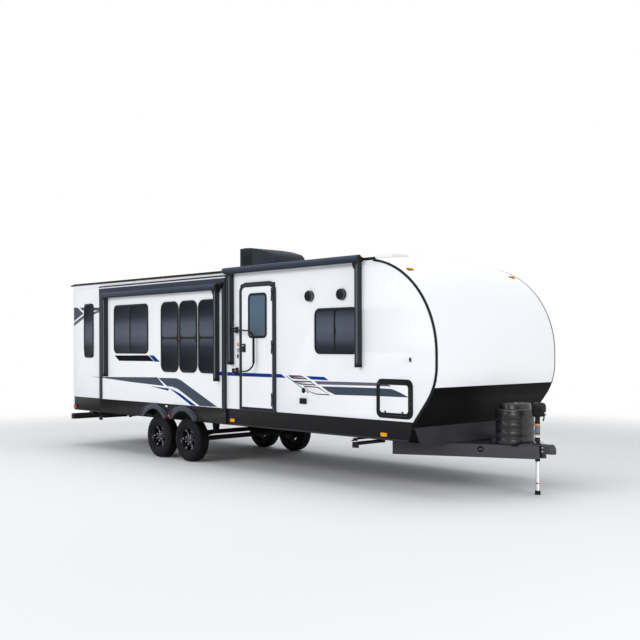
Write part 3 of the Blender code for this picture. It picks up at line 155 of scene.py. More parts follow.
def relief(tree, shader, height, strength, distance):
    bump = node(tree, "ShaderNodeBump", Strength=strength, Distance=distance)
    tree.links.new(height, bump.inputs["Height"])
    tree.links.new(bump.outputs["Normal"], shader.inputs["Normal"])


def surface(name, colour, roughness, metallic=0.0, coat=0.0, mottle=0.05, mottle_scale=2.5,
            spread=0.06, grain=None, dust=0.0, stretch=(1, 1, 1), sheen=0.5):
    """Finish with cloudy colour, uneven gloss, a fine relief and dust that thins with height."""
    made, tree, shader = new_material(name, colour, Metallic=metallic, Specular_IOR_Level=sheen,
                                      Coat_Weight=coat, Coat_Roughness=0.08)
    cloud = ranged(tree, noise(tree, mottle_scale, 5.0, stretch), 0.0, 1.0)
    result = blend_colours(tree, cloud, tinted(colour, 1 - mottle), tinted(colour, 1 + mottle))
    if dust:
        patchy = node(tree, "ShaderNodeMath", operation="MULTIPLY")
        tree.links.new(ranged(tree, along_axis(tree, "Z"), dust, 0.0, *DUST_HEIGHTS),
                       patchy.inputs[0])
        tree.links.new(ranged(tree, noise(tree, 9.0, 6.0), 0.1, 1.0), patchy.inputs[1])
        result = blend_colours(tree, patchy.outputs["Value"], result, DUST)
    tree.links.new(result, shader.inputs["Base Color"])
    gloss = ranged(tree, noise(tree, mottle_scale * 3, 3.0, stretch), roughness - spread,
                   roughness + spread)
    tree.links.new(gloss, shader.inputs["Roughness"])
    if grain:
        scale, depth = grain
        relief(tree, shader, noise(tree, scale, 3.0, stretch), 0.5, depth)
    return made


def woven(name, colour, pitch, depth):
    """Cloth with threads both ways."""
    made, tree, shader = new_material(name, colour, Roughness=0.55, Specular_IOR_Level=0.3)
    total = node(tree, "ShaderNodeMath", operation="ADD")
    for i, axis in enumerate("XZ"):
        tree.links.new(waves(tree, 1.0 / pitch / 20, axis), total.inputs[i])
    relief(tree, shader, total.outputs["Value"], 0.6, depth)
    cloud = ranged(tree, noise(tree, 6.0), 0.0, 1.0)
    tree.links.new(blend_colours(tree, cloud, tinted(colour, 0.9), tinted(colour, 1.1)),
                   shader.inputs["Base Color"])
    return made


def lens(name, colour):
    """Clear coloured plastic over a reflector."""
    made, tree, shader = new_material(
        name, colour, Roughness=0.16, Coat_Weight=0.15, Specular_IOR_Level=0.2,
        Subsurface_Weight=0.2, Subsurface_Radius=(0.01, 0.006, 0.002))
    ribs = waves(tree, 26.0, "X")
    tree.links.new(blend_colours(tree, ribs, tinted(colour, 0.75), tinted(colour, 1.15)),
                   shader.inputs["Base Color"])
    relief(tree, shader, ribs, 0.4, 0.0008)
    return made


def ramped(tree, shader, axis, rows):
    """Colour that runs through rows of place and colour along one axis."""
    low, high = rows[0][0], rows[-1][0]
    ramp = node(tree, "ShaderNodeValToRGB")
    stops = ramp.color_ramp.elements
    stops[0].color = (*rows[0][1], 1.0)
    stops[1].color = (*rows[-1][1], 1.0)
    for at, colour in rows[1:-1]:
        stops.new((at - low) / (high - low)).color = (*colour, 1.0)
    tree.links.new(ranged(tree, along_axis(tree, axis), 0.0, 1.0, low, high), ramp.inputs["Fac"])
    tree.links.new(ramp.outputs["Color"], shader.inputs["Base Color"])


def glass_with_painted_reflection(name, rows):
    """Tinted pane whose colour follows rows of height and colour: a painted reflection."""
    made, tree, shader = new_material(name, rows[0][1], Roughness=0.05, Specular_IOR_Level=0.06)
    ramped(tree, shader, "Z", rows)
    relief(tree, shader, noise(tree, 3.0, 1.0), 0.15, 0.0006)
    return made


def fading_film(name, rows):
    """Satin film whose tone runs through rows of place and colour along the body."""
    made, tree, shader = new_material(name, rows[-1][1], Roughness=0.34, Specular_IOR_Level=0.2)
    ramped(tree, shader, "X", [(station(x), colour) for x, colour in rows])
    return made


def ringed(made, colour, low, high):
    """Painted ring between two heights added to a finish."""
    tree = made.node_tree
    colour_input = tree.nodes["Principled BSDF"].inputs["Base Color"]
    near = node(tree, "ShaderNodeMath", operation="COMPARE")
    near.inputs[1].default_value = (low + high) / 2
    near.inputs[2].default_value = (high - low) / 2
    tree.links.new(along_axis(tree, "Z"), near.inputs[0])
    result = blend_colours(tree, near.outputs[0], colour_input.links[0].from_socket,
                           (*colour, 1.0))
    tree.links.new(result, colour_input)
    return made


GELCOAT = surface("white_gelcoat", (0.87, 0.88, 0.90), 0.40, mottle=0.003, mottle_scale=1.3,
                  spread=0.006)
CAP_WHITE = surface("white_cap", (0.93, 0.935, 0.94), 0.24, coat=0.1, mottle=0.003,
                    mottle_scale=1.0, spread=0.006)
SKIRT = surface("skirt_paint", (0.0085, 0.0076, 0.0090), 0.34, mottle=0.08, spread=0.04,
                grain=(160, 0.0001), dust=0.02, sheen=0.10)
# Wheel flares: black lightened towards blue, a painted sky reflection; the coat is real gloss.
FLARE_PAINTED_SHEEN = surface("flare_painted_sheen", (0.022, 0.029, 0.045), 0.28, coat=0.10, mottle=0.06,
                 spread=0.03, sheen=0.3)
# Pale blue for a line along the top of the wheel flares: a painted highlight.
ARCH_PAINTED_SHINE = surface("arch_painted_highlight", (0.050, 0.074, 0.120), 0.30, mottle=0.05, sheen=0.4)
CAP_BLACK = surface("cap_paint", (0.0034, 0.0032, 0.0034), 0.40, mottle=0.03, spread=0.0,
                    sheen=0.05)
APRON = surface("apron_sheet", (0.030, 0.029, 0.034), 0.46, grain=(320, 0.0002), dust=0.03,
                sheen=0.15)
SLATE = surface("slate_trim", (0.017, 0.022, 0.032), 0.38, grain=(420, 0.0001), sheen=0.2)
SLATE_PALE = surface("slate_insert", (0.088, 0.100, 0.104), 0.42, grain=(420, 0.0001),
                     sheen=0.2)
TRIM_BLACK = surface("black_trim", (0.0080, 0.0082, 0.0100), 0.36, grain=(500, 0.0001),
                     sheen=0.12)
FRAME_PAINT = surface("chassis_paint", (0.0085, 0.0085, 0.0100), 0.42, mottle=0.12,
                      grain=(140, 0.0004), dust=0.05, sheen=0.15)
TONGUE_PAINT = surface("tongue_paint", (0.052, 0.051, 0.060), 0.46, mottle=0.06,
                       grain=(220, 0.0003), dust=0.03, sheen=0.2)
UNDERLAY = surface("underbelly_sheet", (0.012, 0.012, 0.013), 0.62, mottle=0.15,
                   grain=(60, 0.001), dust=0.08, sheen=0.15)
PLASTIC = surface("moulded_plastic", (0.0090, 0.0090, 0.0105), 0.44, mottle=0.06,
                  grain=(700, 0.0002), sheen=0.2)
AC_GREY = surface("roof_unit_plastic", (0.025, 0.030, 0.039), 0.52, grain=(600, 0.0002),
                  sheen=0.06)
COVER_PLASTIC = surface("cover_plastic", (0.0125, 0.0118, 0.0135), 0.30, mottle=0.04,
                        spread=0.02, sheen=0.40)
RUBBER = surface("tyre_rubber", (0.0045, 0.0047, 0.0062), 0.62, mottle=0.12, mottle_scale=12,
                 grain=(180, 0.0003), dust=0.012, sheen=0.12)
SEAL = surface("rubber_seal", (0.0060, 0.0060, 0.0066), 0.60, mottle=0.10, grain=(300, 0.0001),
               sheen=0.15)
RIM_BLACK = surface("wheel_paint", (0.0070, 0.0085, 0.0120), 0.24, coat=0.15, mottle=0.06,
                    sheen=0.3)
MACHINED = surface("machined_face", (0.50, 0.52, 0.56), 0.26, metallic=1.0, mottle=0.06,
                   mottle_scale=30, grain=(900, 0.0001))
CHROME = surface("chrome", (0.66, 0.67, 0.70), 0.10, metallic=1.0, mottle=0.02, spread=0.03)
ZINC = surface("zinc_steel", (0.62, 0.64, 0.68), 0.30, metallic=1.0, mottle=0.08,
               mottle_scale=14, grain=(400, 0.0002), stretch=(1, 1, 0.1))
LEG_STEEL = ringed(surface("jack_leg_steel", (0.56, 0.58, 0.62), 0.30, metallic=0.9),
                   (0.62, 0.03, 0.02), 0.128, 0.144)
MEMBRANE = surface("roof_membrane", (0.74, 0.74, 0.73), 0.58, mottle=0.04, grain=(240, 0.0008))
SEALANT = surface("lap_sealant", (0.70, 0.70, 0.69), 0.45, grain=(40, 0.002))
FLOORING = surface("cabin_vinyl", (0.22, 0.17, 0.13), 0.45, mottle=0.25, mottle_scale=5.0,
                   grain=(60, 0.0004), stretch=(0.15, 1, 1))
AWNING_CLOTH = woven("awning_cloth", (0.014, 0.024, 0.046), 0.002, 0.0002)
# Paler blue cloth for a line on the front of each awning roll: a painted highlight.
CLOTH_PAINTED_HIGHLIGHT = woven("awning_cloth_painted_highlight", (0.048, 0.070, 0.118), 0.002, 0.0002)
# Window glass: dark low and high with a lighter band from 1.88 to 2.14 m, a painted reflection.
PANE_PAINTED_REFLECTION = glass_with_painted_reflection("tinted_glass", (
    (1.40, (0.005, 0.007, 0.012)), (1.62, (0.008, 0.011, 0.017)), (1.78, (0.022, 0.027, 0.039)),
    (1.88, (0.068, 0.080, 0.103)), (2.00, (0.090, 0.104, 0.134)), (2.14, (0.074, 0.088, 0.114)),
    (2.26, (0.021, 0.026, 0.038)), (2.36, (0.009, 0.012, 0.018)), (2.55, (0.008, 0.011, 0.017))))
# Door glass: bluer towards the top, a painted sky reflection.
DOOR_PANE_PAINTED_REFLECTION = glass_with_painted_reflection("door_pane_painted_reflection", (
    (1.92, (0.080, 0.120, 0.150)), (2.10, (0.082, 0.125, 0.160)), (2.30, (0.084, 0.142, 0.200)),
    (2.52, (0.078, 0.130, 0.185))))
AMBER = lens("amber_lens", (0.92, 0.36, 0.001))
RED = lens("red_lens", (0.60, 0.040, 0.035))
CLEAR = lens("clear_lens", (0.82, 0.84, 0.86))
PALE_BLUE = surface("button_blue", (0.30, 0.40, 0.62), 0.30)
LABEL_ORANGE = surface("label_orange", (0.62, 0.27, 0.09), 0.40)
LABEL_GREY = surface("label_grey", (0.12, 0.14, 0.20), 0.40)
BADGE_BLACK = surface("badge_black", (0.0022, 0.0023, 0.0028), 0.45, mottle=0.03, sheen=0.03)
STRIPE_SLATE = surface("stripe_slate", (0.034, 0.050, 0.078), 0.34, mottle=0.03, spread=0.02,
                       sheen=0.2)
STRIPE_BLUE = surface("stripe_blue", (0.0, 0.036, 0.215), 0.42, mottle=0.02, spread=0.0,
                      sheen=0.05)
STRIPE_LILAC = surface("stripe_lilac", (0.100, 0.106, 0.145), 0.34, mottle=0.03, spread=0.02,
                       sheen=0.2)
STRIPE_SKY = surface("stripe_sky", (0.16, 0.27, 0.46), 0.34, mottle=0.02, spread=0.0)
STRIPE_SILVER = fading_film("stripe_silver", (
    (-2.600, (0.020, 0.018, 0.020)), (-2.509, (0.120, 0.095, 0.110)),
    (-2.379, (0.330, 0.270, 0.310)), (-2.210, (0.760, 0.720, 0.750)),
    (-1.950, (0.880, 0.870, 0.880))))


# Shapes

def finished(form):
    bmesh.ops.recalc_face_normals(form, faces=form.faces)
    mesh = bpy.data.meshes.new("form")
    form.to_mesh(mesh)
    form.free()
    return mesh


def soften(item, width, segments, angle):
    edge = item.modifiers.new("edges", "BEVEL")
    edge.width = width
    edge.segments = segments
    edge.limit_method = "ANGLE"
    edge.angle_limit = math.radians(angle)
    edge.harden_normals = True


def piece(name, mesh, finish, body="root", bevel=0.0, segments=2, angle=32):
    """Object in the trailer's frame that moves with a body; a list of meshes becomes one."""
    mesh = merged(mesh) if isinstance(mesh, list) else mesh
    item = bpy.data.objects.new(name, mesh)
    bpy.context.scene.collection.objects.link(item)
    mesh.materials.clear()
    mesh.materials.append(finish)
    if bevel:
        soften(item, bevel, segments, angle)
    mesh.shade_smooth()
    mesh.set_sharp_from_angle(angle=math.radians(angle))
    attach(item, body)
    return item


def merged(meshes):
    """One mesh of several separate closed shells."""
    form = bmesh.new()
    for mesh in meshes:
        form.from_mesh(mesh)
        bpy.data.meshes.remove(mesh)
    return finished(form)


def box(low, high):
    form = bmesh.new()
    bmesh.ops.create_cube(form, size=1.0)
    size = [high[i] - low[i] for i in range(3)]
    middle = [(high[i] + low[i]) / 2 for i in range(3)]
    bmesh.ops.scale(form, vec=size, verts=form.verts)
    bmesh.ops.translate(form, vec=middle, verts=form.verts)
    return finished(form)


def sided_box(side, x, y, z):
    """Box between two values in each direction, with Y measured outwards on one side."""
    ys = sorted((side * y[0], side * y[1]))
    return box((x[0], ys[0], z[0]), (x[1], ys[1], z[1]))


def door_box(x, y, z):
    return sided_box(DOOR_SIDE, x, y, z)


def cylinder(start, end, radius, sides=24):
    start, end = Vector(start), Vector(end)
    form = bmesh.new()
    bmesh.ops.create_cone(form, cap_ends=True, segments=sides, radius1=radius, radius2=radius,
                          depth=(end - start).length)
    turn = (end - start).to_track_quat("Z", "Y").to_matrix().to_4x4()
    bmesh.ops.transform(form, matrix=Matrix.Translation((start + end) / 2) @ turn,
                        verts=form.verts)
    return finished(form)


def pin(side, x, y, z, radius, sides):
    """Upright disc on a side wall between two values of Y."""
    return cylinder((x, side * y[0], z), (x, side * y[1], z), radius, sides)


def curve_mesh(loops, cyclic, place=Matrix.Identity(4), **settings):
    """Closed mesh of a curve through loops of points."""
    curve = bpy.data.curves.new("outline", "CURVE")
    for key, value in settings.items():
        setattr(curve, key, value)
    for loop in loops:
        spline = curve.splines.new("POLY")
        spline.points.add(len(loop) - 1)
        for point, where in zip(spline.points, loop):
            point.co = (*where, 1.0)
        spline.use_cyclic_u = cyclic
    item = bpy.data.objects.new("outline", curve)
    bpy.context.scene.collection.objects.link(item)
    item.matrix_world = place
    bpy.context.view_layer.update()
    depsgraph = bpy.context.evaluated_depsgraph_get()
    mesh = bpy.data.meshes.new_from_object(item.evaluated_get(depsgraph))
    mesh.transform(item.matrix_world)
    bpy.data.objects.remove(item, do_unlink=True)
    bpy.data.curves.remove(curve)
    form = bmesh.new()
    form.from_mesh(mesh)
    bpy.data.meshes.remove(mesh)
    bmesh.ops.remove_doubles(form, verts=form.verts, dist=0.00002)
    return finished(form)


UPRIGHT = Matrix(((1, 0, 0, 0), (0, 0, 1, 0), (0, 1, 0, 0), (0, 0, 0, 1)))


def side_slab(side, loops, near, far):
    """Outline in the plane of a side wall, holes as further loops, thickness outwards."""
    low, high = sorted((side * near, side * far))
    place = UPRIGHT @ Matrix.Translation((0, 0, (low + high) / 2))
    flat = [[(u, v, 0.0) for u, v in loop] for loop in loops]
    return curve_mesh(flat, True, place, dimensions="2D", fill_mode="BOTH",
                      extrude=(high - low) / 2)


def tube(points, radius, resolution=3, cyclic=False):
    return curve_mesh([points], cyclic, dimensions="3D", bevel_depth=radius,
                      bevel_resolution=resolution, use_fill_caps=not cyclic)


def arc(centre, radius, start, end, steps):
    """Points of an arc, angles in degrees, both ends included."""
    points = []
    for i in range(steps + 1):
        angle = math.radians(start + (end - start) * i / steps)
        points.append((centre[0] + radius * math.cos(angle), centre[1] + radius * math.sin(angle)))
    return points


def round_rect(u0, u1, v0, v1, radius, steps=6):
    loop = arc((u1 - radius, v0 + radius), radius, -90, 0, steps)
    loop += arc((u1 - radius, v1 - radius), radius, 0, 90, steps)
    loop += arc((u0 + radius, v1 - radius), radius, 90, 180, steps)
    loop += arc((u0 + radius, v0 + radius), radius, 180, 270, steps)
    return loop


def lofted(rows, closed=False, capped=False, matrix=Matrix.Identity(4)):
    """Skin over rows of points, each row a ring or one point, the rows open or closed."""
    form = bmesh.new()
    rings = [[form.verts.new(point) for point in row] for row in rows]
    for first, second in zip(rings, rings[1:] + (rings[:1] if closed else [])):
        count = max(len(first), len(second))
        for i in range(count):
            k = (i + 1) % count
            corners = list(dict.fromkeys((first[i % len(first)], first[k % len(first)],
                                          second[k % len(second)], second[i % len(second)])))
            if len(corners) > 2:
                form.faces.new(corners)
    if capped:
        form.faces.new(list(reversed(rings[0])))
        form.faces.new(rings[-1])
    bmesh.ops.transform(form, matrix=matrix, verts=form.verts)
    return finished(form)


def lathe(profile, steps, matrix):
    """Turned shape from (radius, height) points, closed on the axis or on itself."""
    closed = profile[0] == profile[-1]
    rows = []
    for radius, height in profile[:-1] if closed else profile:
        rows.append([(radius * math.cos(math.tau * i / steps),
                      radius * math.sin(math.tau * i / steps), height)
                     for i in range(steps if radius > 0 else 1)])
    return lofted(rows, closed, matrix=matrix)


def upwards(x, y, z):
    return Matrix.Translation((x, y, z))


def outward(side, x, y, z):
    """Matrix whose Z points outwards from a side wall at a place."""
    return upwards(x, side * y, z) @ Matrix.Rotation(-side * math.pi / 2, 4, "X")


def facing(normal, x, y, z):
    return upwards(x, y, z) @ Vector(normal).to_track_quat("Z", "Y").to_matrix().to_4x4()


def clipped(loop, axis, limit, keep_above):
    """Part of an outline on one side of a line."""
    sign = 1 if keep_above else -1
    result = []
    for first, second in zip(loop, loop[1:] + loop[:1]):
        a, b = sign * (first[axis] - limit), sign * (second[axis] - limit)
        if a >= 0:
            result.append(first)
        if a * b < 0:
            t = a / (a - b)
            result.append(tuple(first[i] + (second[i] - first[i]) * t for i in range(2)))
    return result


def within(loop, x0, x1, z0, z1):
    for axis, limit, keep_above in ((0, x0, True), (0, x1, False), (1, z0, True), (1, z1, False)):
        if loop:
            loop = clipped(loop, axis, limit, keep_above)
    return loop if len(loop) > 2 else []


def opening(size, grow=0.0, radius=None):
    """Rounded outline of a window or hatch from its row of sizes."""
    x0, x1, z0, z1, corner = size
    return round_rect(station(x0) - grow, station(x1) + grow, z0 - grow, z1 + grow,
                      radius or max(0.004, corner + grow), 6 if radius else 8)


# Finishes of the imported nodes

def dress(name, finish, rule, width, segments):
    """Finish a node, by face where a rule is given, and soften its edges."""
    item = NODES[name]
    mesh = item.data
    mesh.materials.clear()
    mesh.materials.append(finish)
    used = [finish]
    for polygon in mesh.polygons:
        chosen = rule(polygon.center, polygon.normal) if rule else None
        chosen = chosen or finish
        if chosen not in used:
            used.append(chosen)
            mesh.materials.append(chosen)
        polygon.material_index = used.index(chosen)
    weld = item.modifiers.new("weld", "WELD")
    weld.merge_threshold = 0.00002
    if width:
        soften(item, width, segments, 30)
    mesh.shade_smooth()


def pane_rule(face, glass):
    def rule(centre, normal):
        return glass if abs(normal.y) > 0.9 and abs(centre.y) < face + 0.005 else None
    return rule


def slide_rule(centre, normal):
    edge = min(centre.x - station(-7.556), station(-3.970) - centre.x, 2.790 - centre.z)
    return SLATE if abs(centre.y) > SLIDE_FACE + 0.002 or edge < 0.001 else None


def door_rule(centre, normal):
    if abs(centre.y) < DOOR_FACE + 0.0005:
        return None
    if centre.x < station(-3.2):
        return TRIM_BLACK
    return SLATE if centre.x > station(-2.857) - 0.0635 else None


def hatch_rule(centre, normal):
    return TRIM_BLACK if abs(normal.y) < 0.5 or abs(centre.y) > HATCH_FACE + 0.0003 else None


# Flare faces stand out from the skirt and get the lightened black: a painted reflection.
def flare_painted_sheen_rule(centre, normal):
    return FLARE_PAINTED_SHEEN if abs(centre.y) > SLIDE_FACE + 0.004 else None


def awning_rule(centre, normal):
    of_slide = centre.x < station(-3.95) and centre.z < 2.75
    height = 2.668 if of_slide else 2.884
    radius = math.hypot(abs(centre.y) - 1.30, centre.z - height)
    on_roll = radius < 0.075 and abs(normal.x) < 0.5 and centre.z > height - 0.05
    return AWNING_CLOTH if on_roll else None


def wall_rule(centre, normal):
    hatch = station(-0.99) < centre.x < station(-0.39) and 0.90 < centre.z < 1.40
    trimmed = abs(centre.y) > HALF + 0.0005 or (hatch and abs(normal.y) < 0.5)
    return TRIM_BLACK if trimmed else None


def deck_rule(centre, normal):
    return FLOORING if normal.z > 0.9 else None


def leg_rule(centre, normal):
    return TRIM_BLACK if centre.z < 0.0505 else None


# Nodes, finish, rule by face, bevel width and its segments
DRESSING = (
    ("wall_door_side wall_off_side", GELCOAT, wall_rule, 0.0010, 2),
    ("wall_rear", GELCOAT, None, 0.0030, 3),
    ("roof roof_vent", MEMBRANE, None, 0.0020, 2),
    ("floor_deck", UNDERLAY, deck_rule, 0.0020, 2),
    ("front_apron", APRON, None, 0.0020, 2),
    ("skirt_door_front skirt_door_rear", SKIRT, None, 0.0030, 3),
    ("skirt_off_side slide_skirt", SKIRT, flare_painted_sheen_rule, 0.0065, 4),
    ("slide_wall", GELCOAT, slide_rule, 0.0025, 3),
    ("slide_box", GELCOAT, None, 0.0030, 2),
    ("window_rear_narrow window_front_slider window_off_bedroom window_off_dinette", TRIM_BLACK,
     pane_rule(HALF, PANE_PAINTED_REFLECTION), 0.0012, 2),
    ("window_slide_slider window_slide_tall_1 window_slide_tall_2 window_slide_tall_3", TRIM_BLACK,
     pane_rule(SLIDE_FACE, PANE_PAINTED_REFLECTION), 0.0012, 2),
    ("door_glass", TRIM_BLACK, pane_rule(DOOR_FACE, DOOR_PANE_PAINTED_REFLECTION), 0.0012, 2),
    ("door_frame", SLATE, None, 0.0020, 3),
    ("entry_door", GELCOAT, door_rule, 0.0020, 3),
    ("grab_handle", PLASTIC, None, 0.0, 2),
    ("main_awning slide_awning", SLATE, awning_rule, 0.0030, 3),
    ("baggage_door_door_side baggage_door_off_side", GELCOAT, hatch_rule, 0.0020, 3),
    ("main_rail_door_side main_rail_off_side", FRAME_PAINT, None, 0.0015, 2),
    ("a_frame_rail_door_side a_frame_rail_off_side", TONGUE_PAINT, None, 0.0040, 3),
    ("suspension_door_side suspension_off_side", FRAME_PAINT, None, 0.0010, 2),
    ("coupler", TONGUE_PAINT, None, 0.0025, 3),
    ("rear_bumper axle_front axle_rear", FRAME_PAINT, None, 0.0, 2),
    ("underbelly", UNDERLAY, None, 0.0, 2),
    ("ac_unit", AC_GREY, None, 0.0, 2),
    ("stabiliser_leg_door_front stabiliser_leg_door_rear stabiliser_leg_off_front "
     "stabiliser_leg_off_rear", FRAME_PAINT, None, 0.0020, 2),
    ("jack_body", PLASTIC, None, 0.0015, 2),
    ("jack_leg", LEG_STEEL, leg_rule, 0.0010, 2),
)
for names, *look in DRESSING:
    for name in names.split():
        dress(name, *look)


# Front cap

def upper_profile(inset, steps=48, chin_steps=12):
    points = arc((NOSE_X - CAP_RADIUS, CAP_CENTRE_Z), CAP_RADIUS - inset, ROOF_TURN, 0, steps)
    return points + arc((NOSE_X - CHIN_RADIUS, CHIN_TOP_Z), CHIN_RADIUS - inset, 0, -SPLIT_TURN,
                        chin_steps)


def lower_profile(inset, steps=12):
    points = arc((NOSE_X - CHIN_RADIUS, CHIN_TOP_Z), CHIN_RADIUS - inset, -SPLIT_TURN,
                 -math.degrees(CHIN_TURN), steps)
    x, z = points[-1]
    fall = z - BELLY_Z - (inset * 0.27 if inset > 0 else 0)
    points.append((x - fall * math.tan(CHIN_TURN), z - fall))
    points.append((points[-1][0], CAP_BOTTOM_Z))
    return points


def crowned(x, z, across):
    rise = max(0.0, (z - CAP_CENTRE_Z) / (ROOF_EDGE_Z - CAP_CENTRE_Z))
    return (x, across * HALF, z + ROOF_CROWN * (1 - across * across) * rise * rise)


def cap_piece(name, outside, inside, finish, node_name):
    """Smooth curved sheet across the front in place of the faceted node."""
    columns = 24
    form = bmesh.new()
    rows = [[form.verts.new(crowned(x, z, 2 * i / columns - 1)) for i in range(columns + 1)]
            for x, z in outside + list(reversed(inside))]
    for i in range(columns):
        for upper, lower in zip(rows, rows[1:] + rows[:1]):
            form.faces.new((upper[i], lower[i], lower[i + 1], upper[i + 1]))
    count = len(outside)
    for side in (0, columns):
        for i in range(count - 1):
            form.faces.new((rows[i][side], rows[i + 1][side], rows[-2 - i][side],
                            rows[-1 - i][side]))
    item = piece(name, finished(form), finish, bevel=0.002, segments=2, angle=40)
    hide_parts(node_name)
    return item


def seam_bead(side):
    """Moulding that wraps the joint between the cap and a side wall."""
    section = ((-0.0025, HALF - 0.012), (-0.0030, HALF + 0.0030), (0.026, HALF + 0.0030),
               (0.027, HALF - 0.001), (0.002, HALF - 0.001), (0.002, HALF - 0.012))
    profiles = [upper_profile(inset) + lower_profile(inset)[1:-1] for inset, _ in section]
    return lofted([[(profile[k][0], side * y, profile[k][1])
                    for profile, (_, y) in zip(profiles, section)]
                   for k in range(len(profiles[0]))], capped=True)


def on_cap(x):
    """Place on the upper cap at a world X, and the way out of it."""
    turn = math.acos(min(1.0, (x - NOSE_X + CAP_RADIUS) / CAP_RADIUS))
    return (NOSE_X - CAP_RADIUS + CAP_RADIUS * math.cos(turn),
            CAP_CENTRE_Z + CAP_RADIUS * math.sin(turn), (math.cos(turn), math.sin(turn)))


cap_piece("cap_upper_shell", upper_profile(0.0), upper_profile(0.030), CAP_WHITE,
          "front_cap_upper")
cap_piece("cap_lower_shell", lower_profile(0.0), lower_profile(0.030), CAP_BLACK,
          "front_cap_lower")
for side, word in SIDES:
    piece("cap_seam_bead_" + word, seam_bead(side), TRIM_BLACK, bevel=0.001)


# Stripes

def stripe(name, loop, finish, side, regions, lift=0.0):
    """Thin film over each region the outline crosses, riding on that region's body."""
    loop = [(station(x), z) for x, z in loop]
    for i, (x0, x1, z0, z1, face, body) in enumerate(regions):
        part = within(loop, station(x0), station(x1), z0, z1)
        if part:
            film = side_slab(side, [part], face - 0.0004, face + 0.0008 + lift)
            piece("%s_%d" % (name, i), film, finish, body)


WALL_REGIONS = (
    (-8.529, -7.613, 0.9, 2.8, HALF, "root"),
    (-3.962, -3.655, 0.9, 2.8, HALF, "root"),
    (-3.5855, -3.5695, 0.94, 2.6, DOOR_FACE + 0.0023, DOOR),
    (-3.569, -2.941, 0.94, 2.6, DOOR_FACE, DOOR),
    (-2.9405, -2.9245, 0.94, 2.6, DOOR_FACE + 0.0023, DOOR),
    (-2.855, -0.959, 0.9, 2.8, HALF, "root"),
    (-0.928, -0.415, 0.953, 1.347, HALF + 0.006, "baggage_door_door_side"),
    (-0.371, -0.050, 0.9, 2.8, HALF, "root"),
)
SLIDE_REGIONS = ((-7.499, -4.027, 0.885, 2.73, SLIDE_FACE, SLIDE),)
OFF_REGIONS = (
    (-8.529, -0.959, 0.9, 2.8, HALF, "root"),
    (-0.928, -0.415, 0.953, 1.347, HALF + 0.006, "baggage_door_off_side"),
    (-0.371, -0.050, 0.9, 2.8, HALF, "root"),
)
SLIDE_STRIPES = (
    ("slide_stripe_blue_end", STRIPE_BLUE,
     [(-4.117, 1.414), (-4.020, 1.413), (-4.020, 1.360), (-4.117, 1.361)]),
    ("slide_stripe_slate_1", STRIPE_SLATE,
     [(-7.910, 1.252), (-5.768, 1.294), (-5.569, 1.161), (-6.574, 1.198), (-7.413, 1.242)]),
    ("slide_stripe_slate_2", STRIPE_SLATE,
     [(-5.740, 1.287), (-5.237, 1.292), (-5.128, 1.272), (-4.176, 0.892), (-4.614, 0.886),
      (-4.993, 1.044), (-5.181, 1.122), (-5.346, 1.156), (-5.484, 1.159)]),
    ("slide_stripe_blue_1", STRIPE_BLUE,
     [(-5.971, 1.146), (-5.429, 1.125), (-5.456, 1.089), (-6.119, 1.163)]),
    ("slide_stripe_blue_2", STRIPE_BLUE,
     [(-5.401, 1.130), (-5.127, 1.055), (-4.704, 0.884), (-4.834, 0.884), (-5.373, 1.108)]),
    ("slide_badge_black", BADGE_BLACK,
     [(-7.062, 1.635), (-6.032, 1.644), (-5.856, 1.549), (-6.923, 1.546)]),
    ("slide_badge_blue", STRIPE_BLUE,
     [(-6.003, 1.644), (-5.871, 1.645), (-5.684, 1.543), (-5.827, 1.541)]),
)
WALL_STRIPES = (
    ("rear_arrow", STRIPE_SLATE,
     [(-8.527, 2.495), (-8.363, 2.489), (-8.164, 2.376), (-8.527, 2.240)]),
    ("rear_band", STRIPE_SLATE,
     [(-8.291, 2.487), (-7.613, 2.468), (-7.613, 2.416), (-8.182, 2.430)]),
    ("rear_diagonal", STRIPE_LILAC,
     [(-8.527, 2.212), (-8.128, 2.358), (-8.128, 2.295), (-8.527, 2.149)]),
    ("rear_diagonal_end", STRIPE_LILAC,
     [(-7.812, 2.394), (-7.613, 2.420), (-7.613, 2.385), (-7.812, 2.350)]),
    ("front_blue", STRIPE_BLUE,
     [(-4.132, 1.412), (-2.752, 1.407), (-2.655, 1.358), (-2.734, 1.358), (-4.131, 1.360)]),
    ("chevron_1", STRIPE_SILVER,
     [(-2.609, 1.396), (-2.346, 1.396), (-2.207, 1.347), (-2.527, 1.351)]),
    ("chevron_2", STRIPE_SILVER,
     [(-2.548, 1.324), (-2.168, 1.328), (-2.051, 1.272), (-2.365, 1.275)]),
    ("chevron_3", STRIPE_SILVER,
     [(-2.306, 1.264), (-2.012, 1.254), (-1.785, 1.152), (-2.051, 1.154), (-2.206, 1.188)]),
    ("sky_edge", STRIPE_SKY,
     [(-2.671, 1.388), (-2.630, 1.384), (-2.187, 1.169), (-2.206, 1.161)]),
    ("blue_stub", STRIPE_BLUE,
     [(-2.247, 1.392), (-1.898, 1.388), (-1.814, 1.345), (-2.148, 1.349)]),
    ("front_lilac", STRIPE_LILAC,
     [(-2.090, 1.330), (-0.801, 1.338), (-0.710, 1.299), (-0.951, 1.299), (-2.013, 1.287)]),
    ("front_slate", STRIPE_SLATE,
     [(-1.955, 1.263), (-0.934, 1.273), (-0.702, 1.269), (-0.572, 1.232), (-0.429, 1.178),
      (-0.934, 1.175), (-1.692, 1.162), (-1.822, 1.202)]),
)


def shrunk(loop, end_margin, edge_margin):
    """Outline drawn in towards its middle by a margin along it and one across it."""
    cx = sum(x for x, _ in loop) / len(loop)
    cz = sum(z for _, z in loop) / len(loop)
    wide = max(x for x, _ in loop) - min(x for x, _ in loop)
    tall = max(z for _, z in loop) - min(z for _, z in loop)
    along, across = 1 - 2 * end_margin / wide, 1 - 2 * edge_margin / tall
    return [(cx + (x - cx) * along, cz + (z - cz) * across) for x, z in loop]


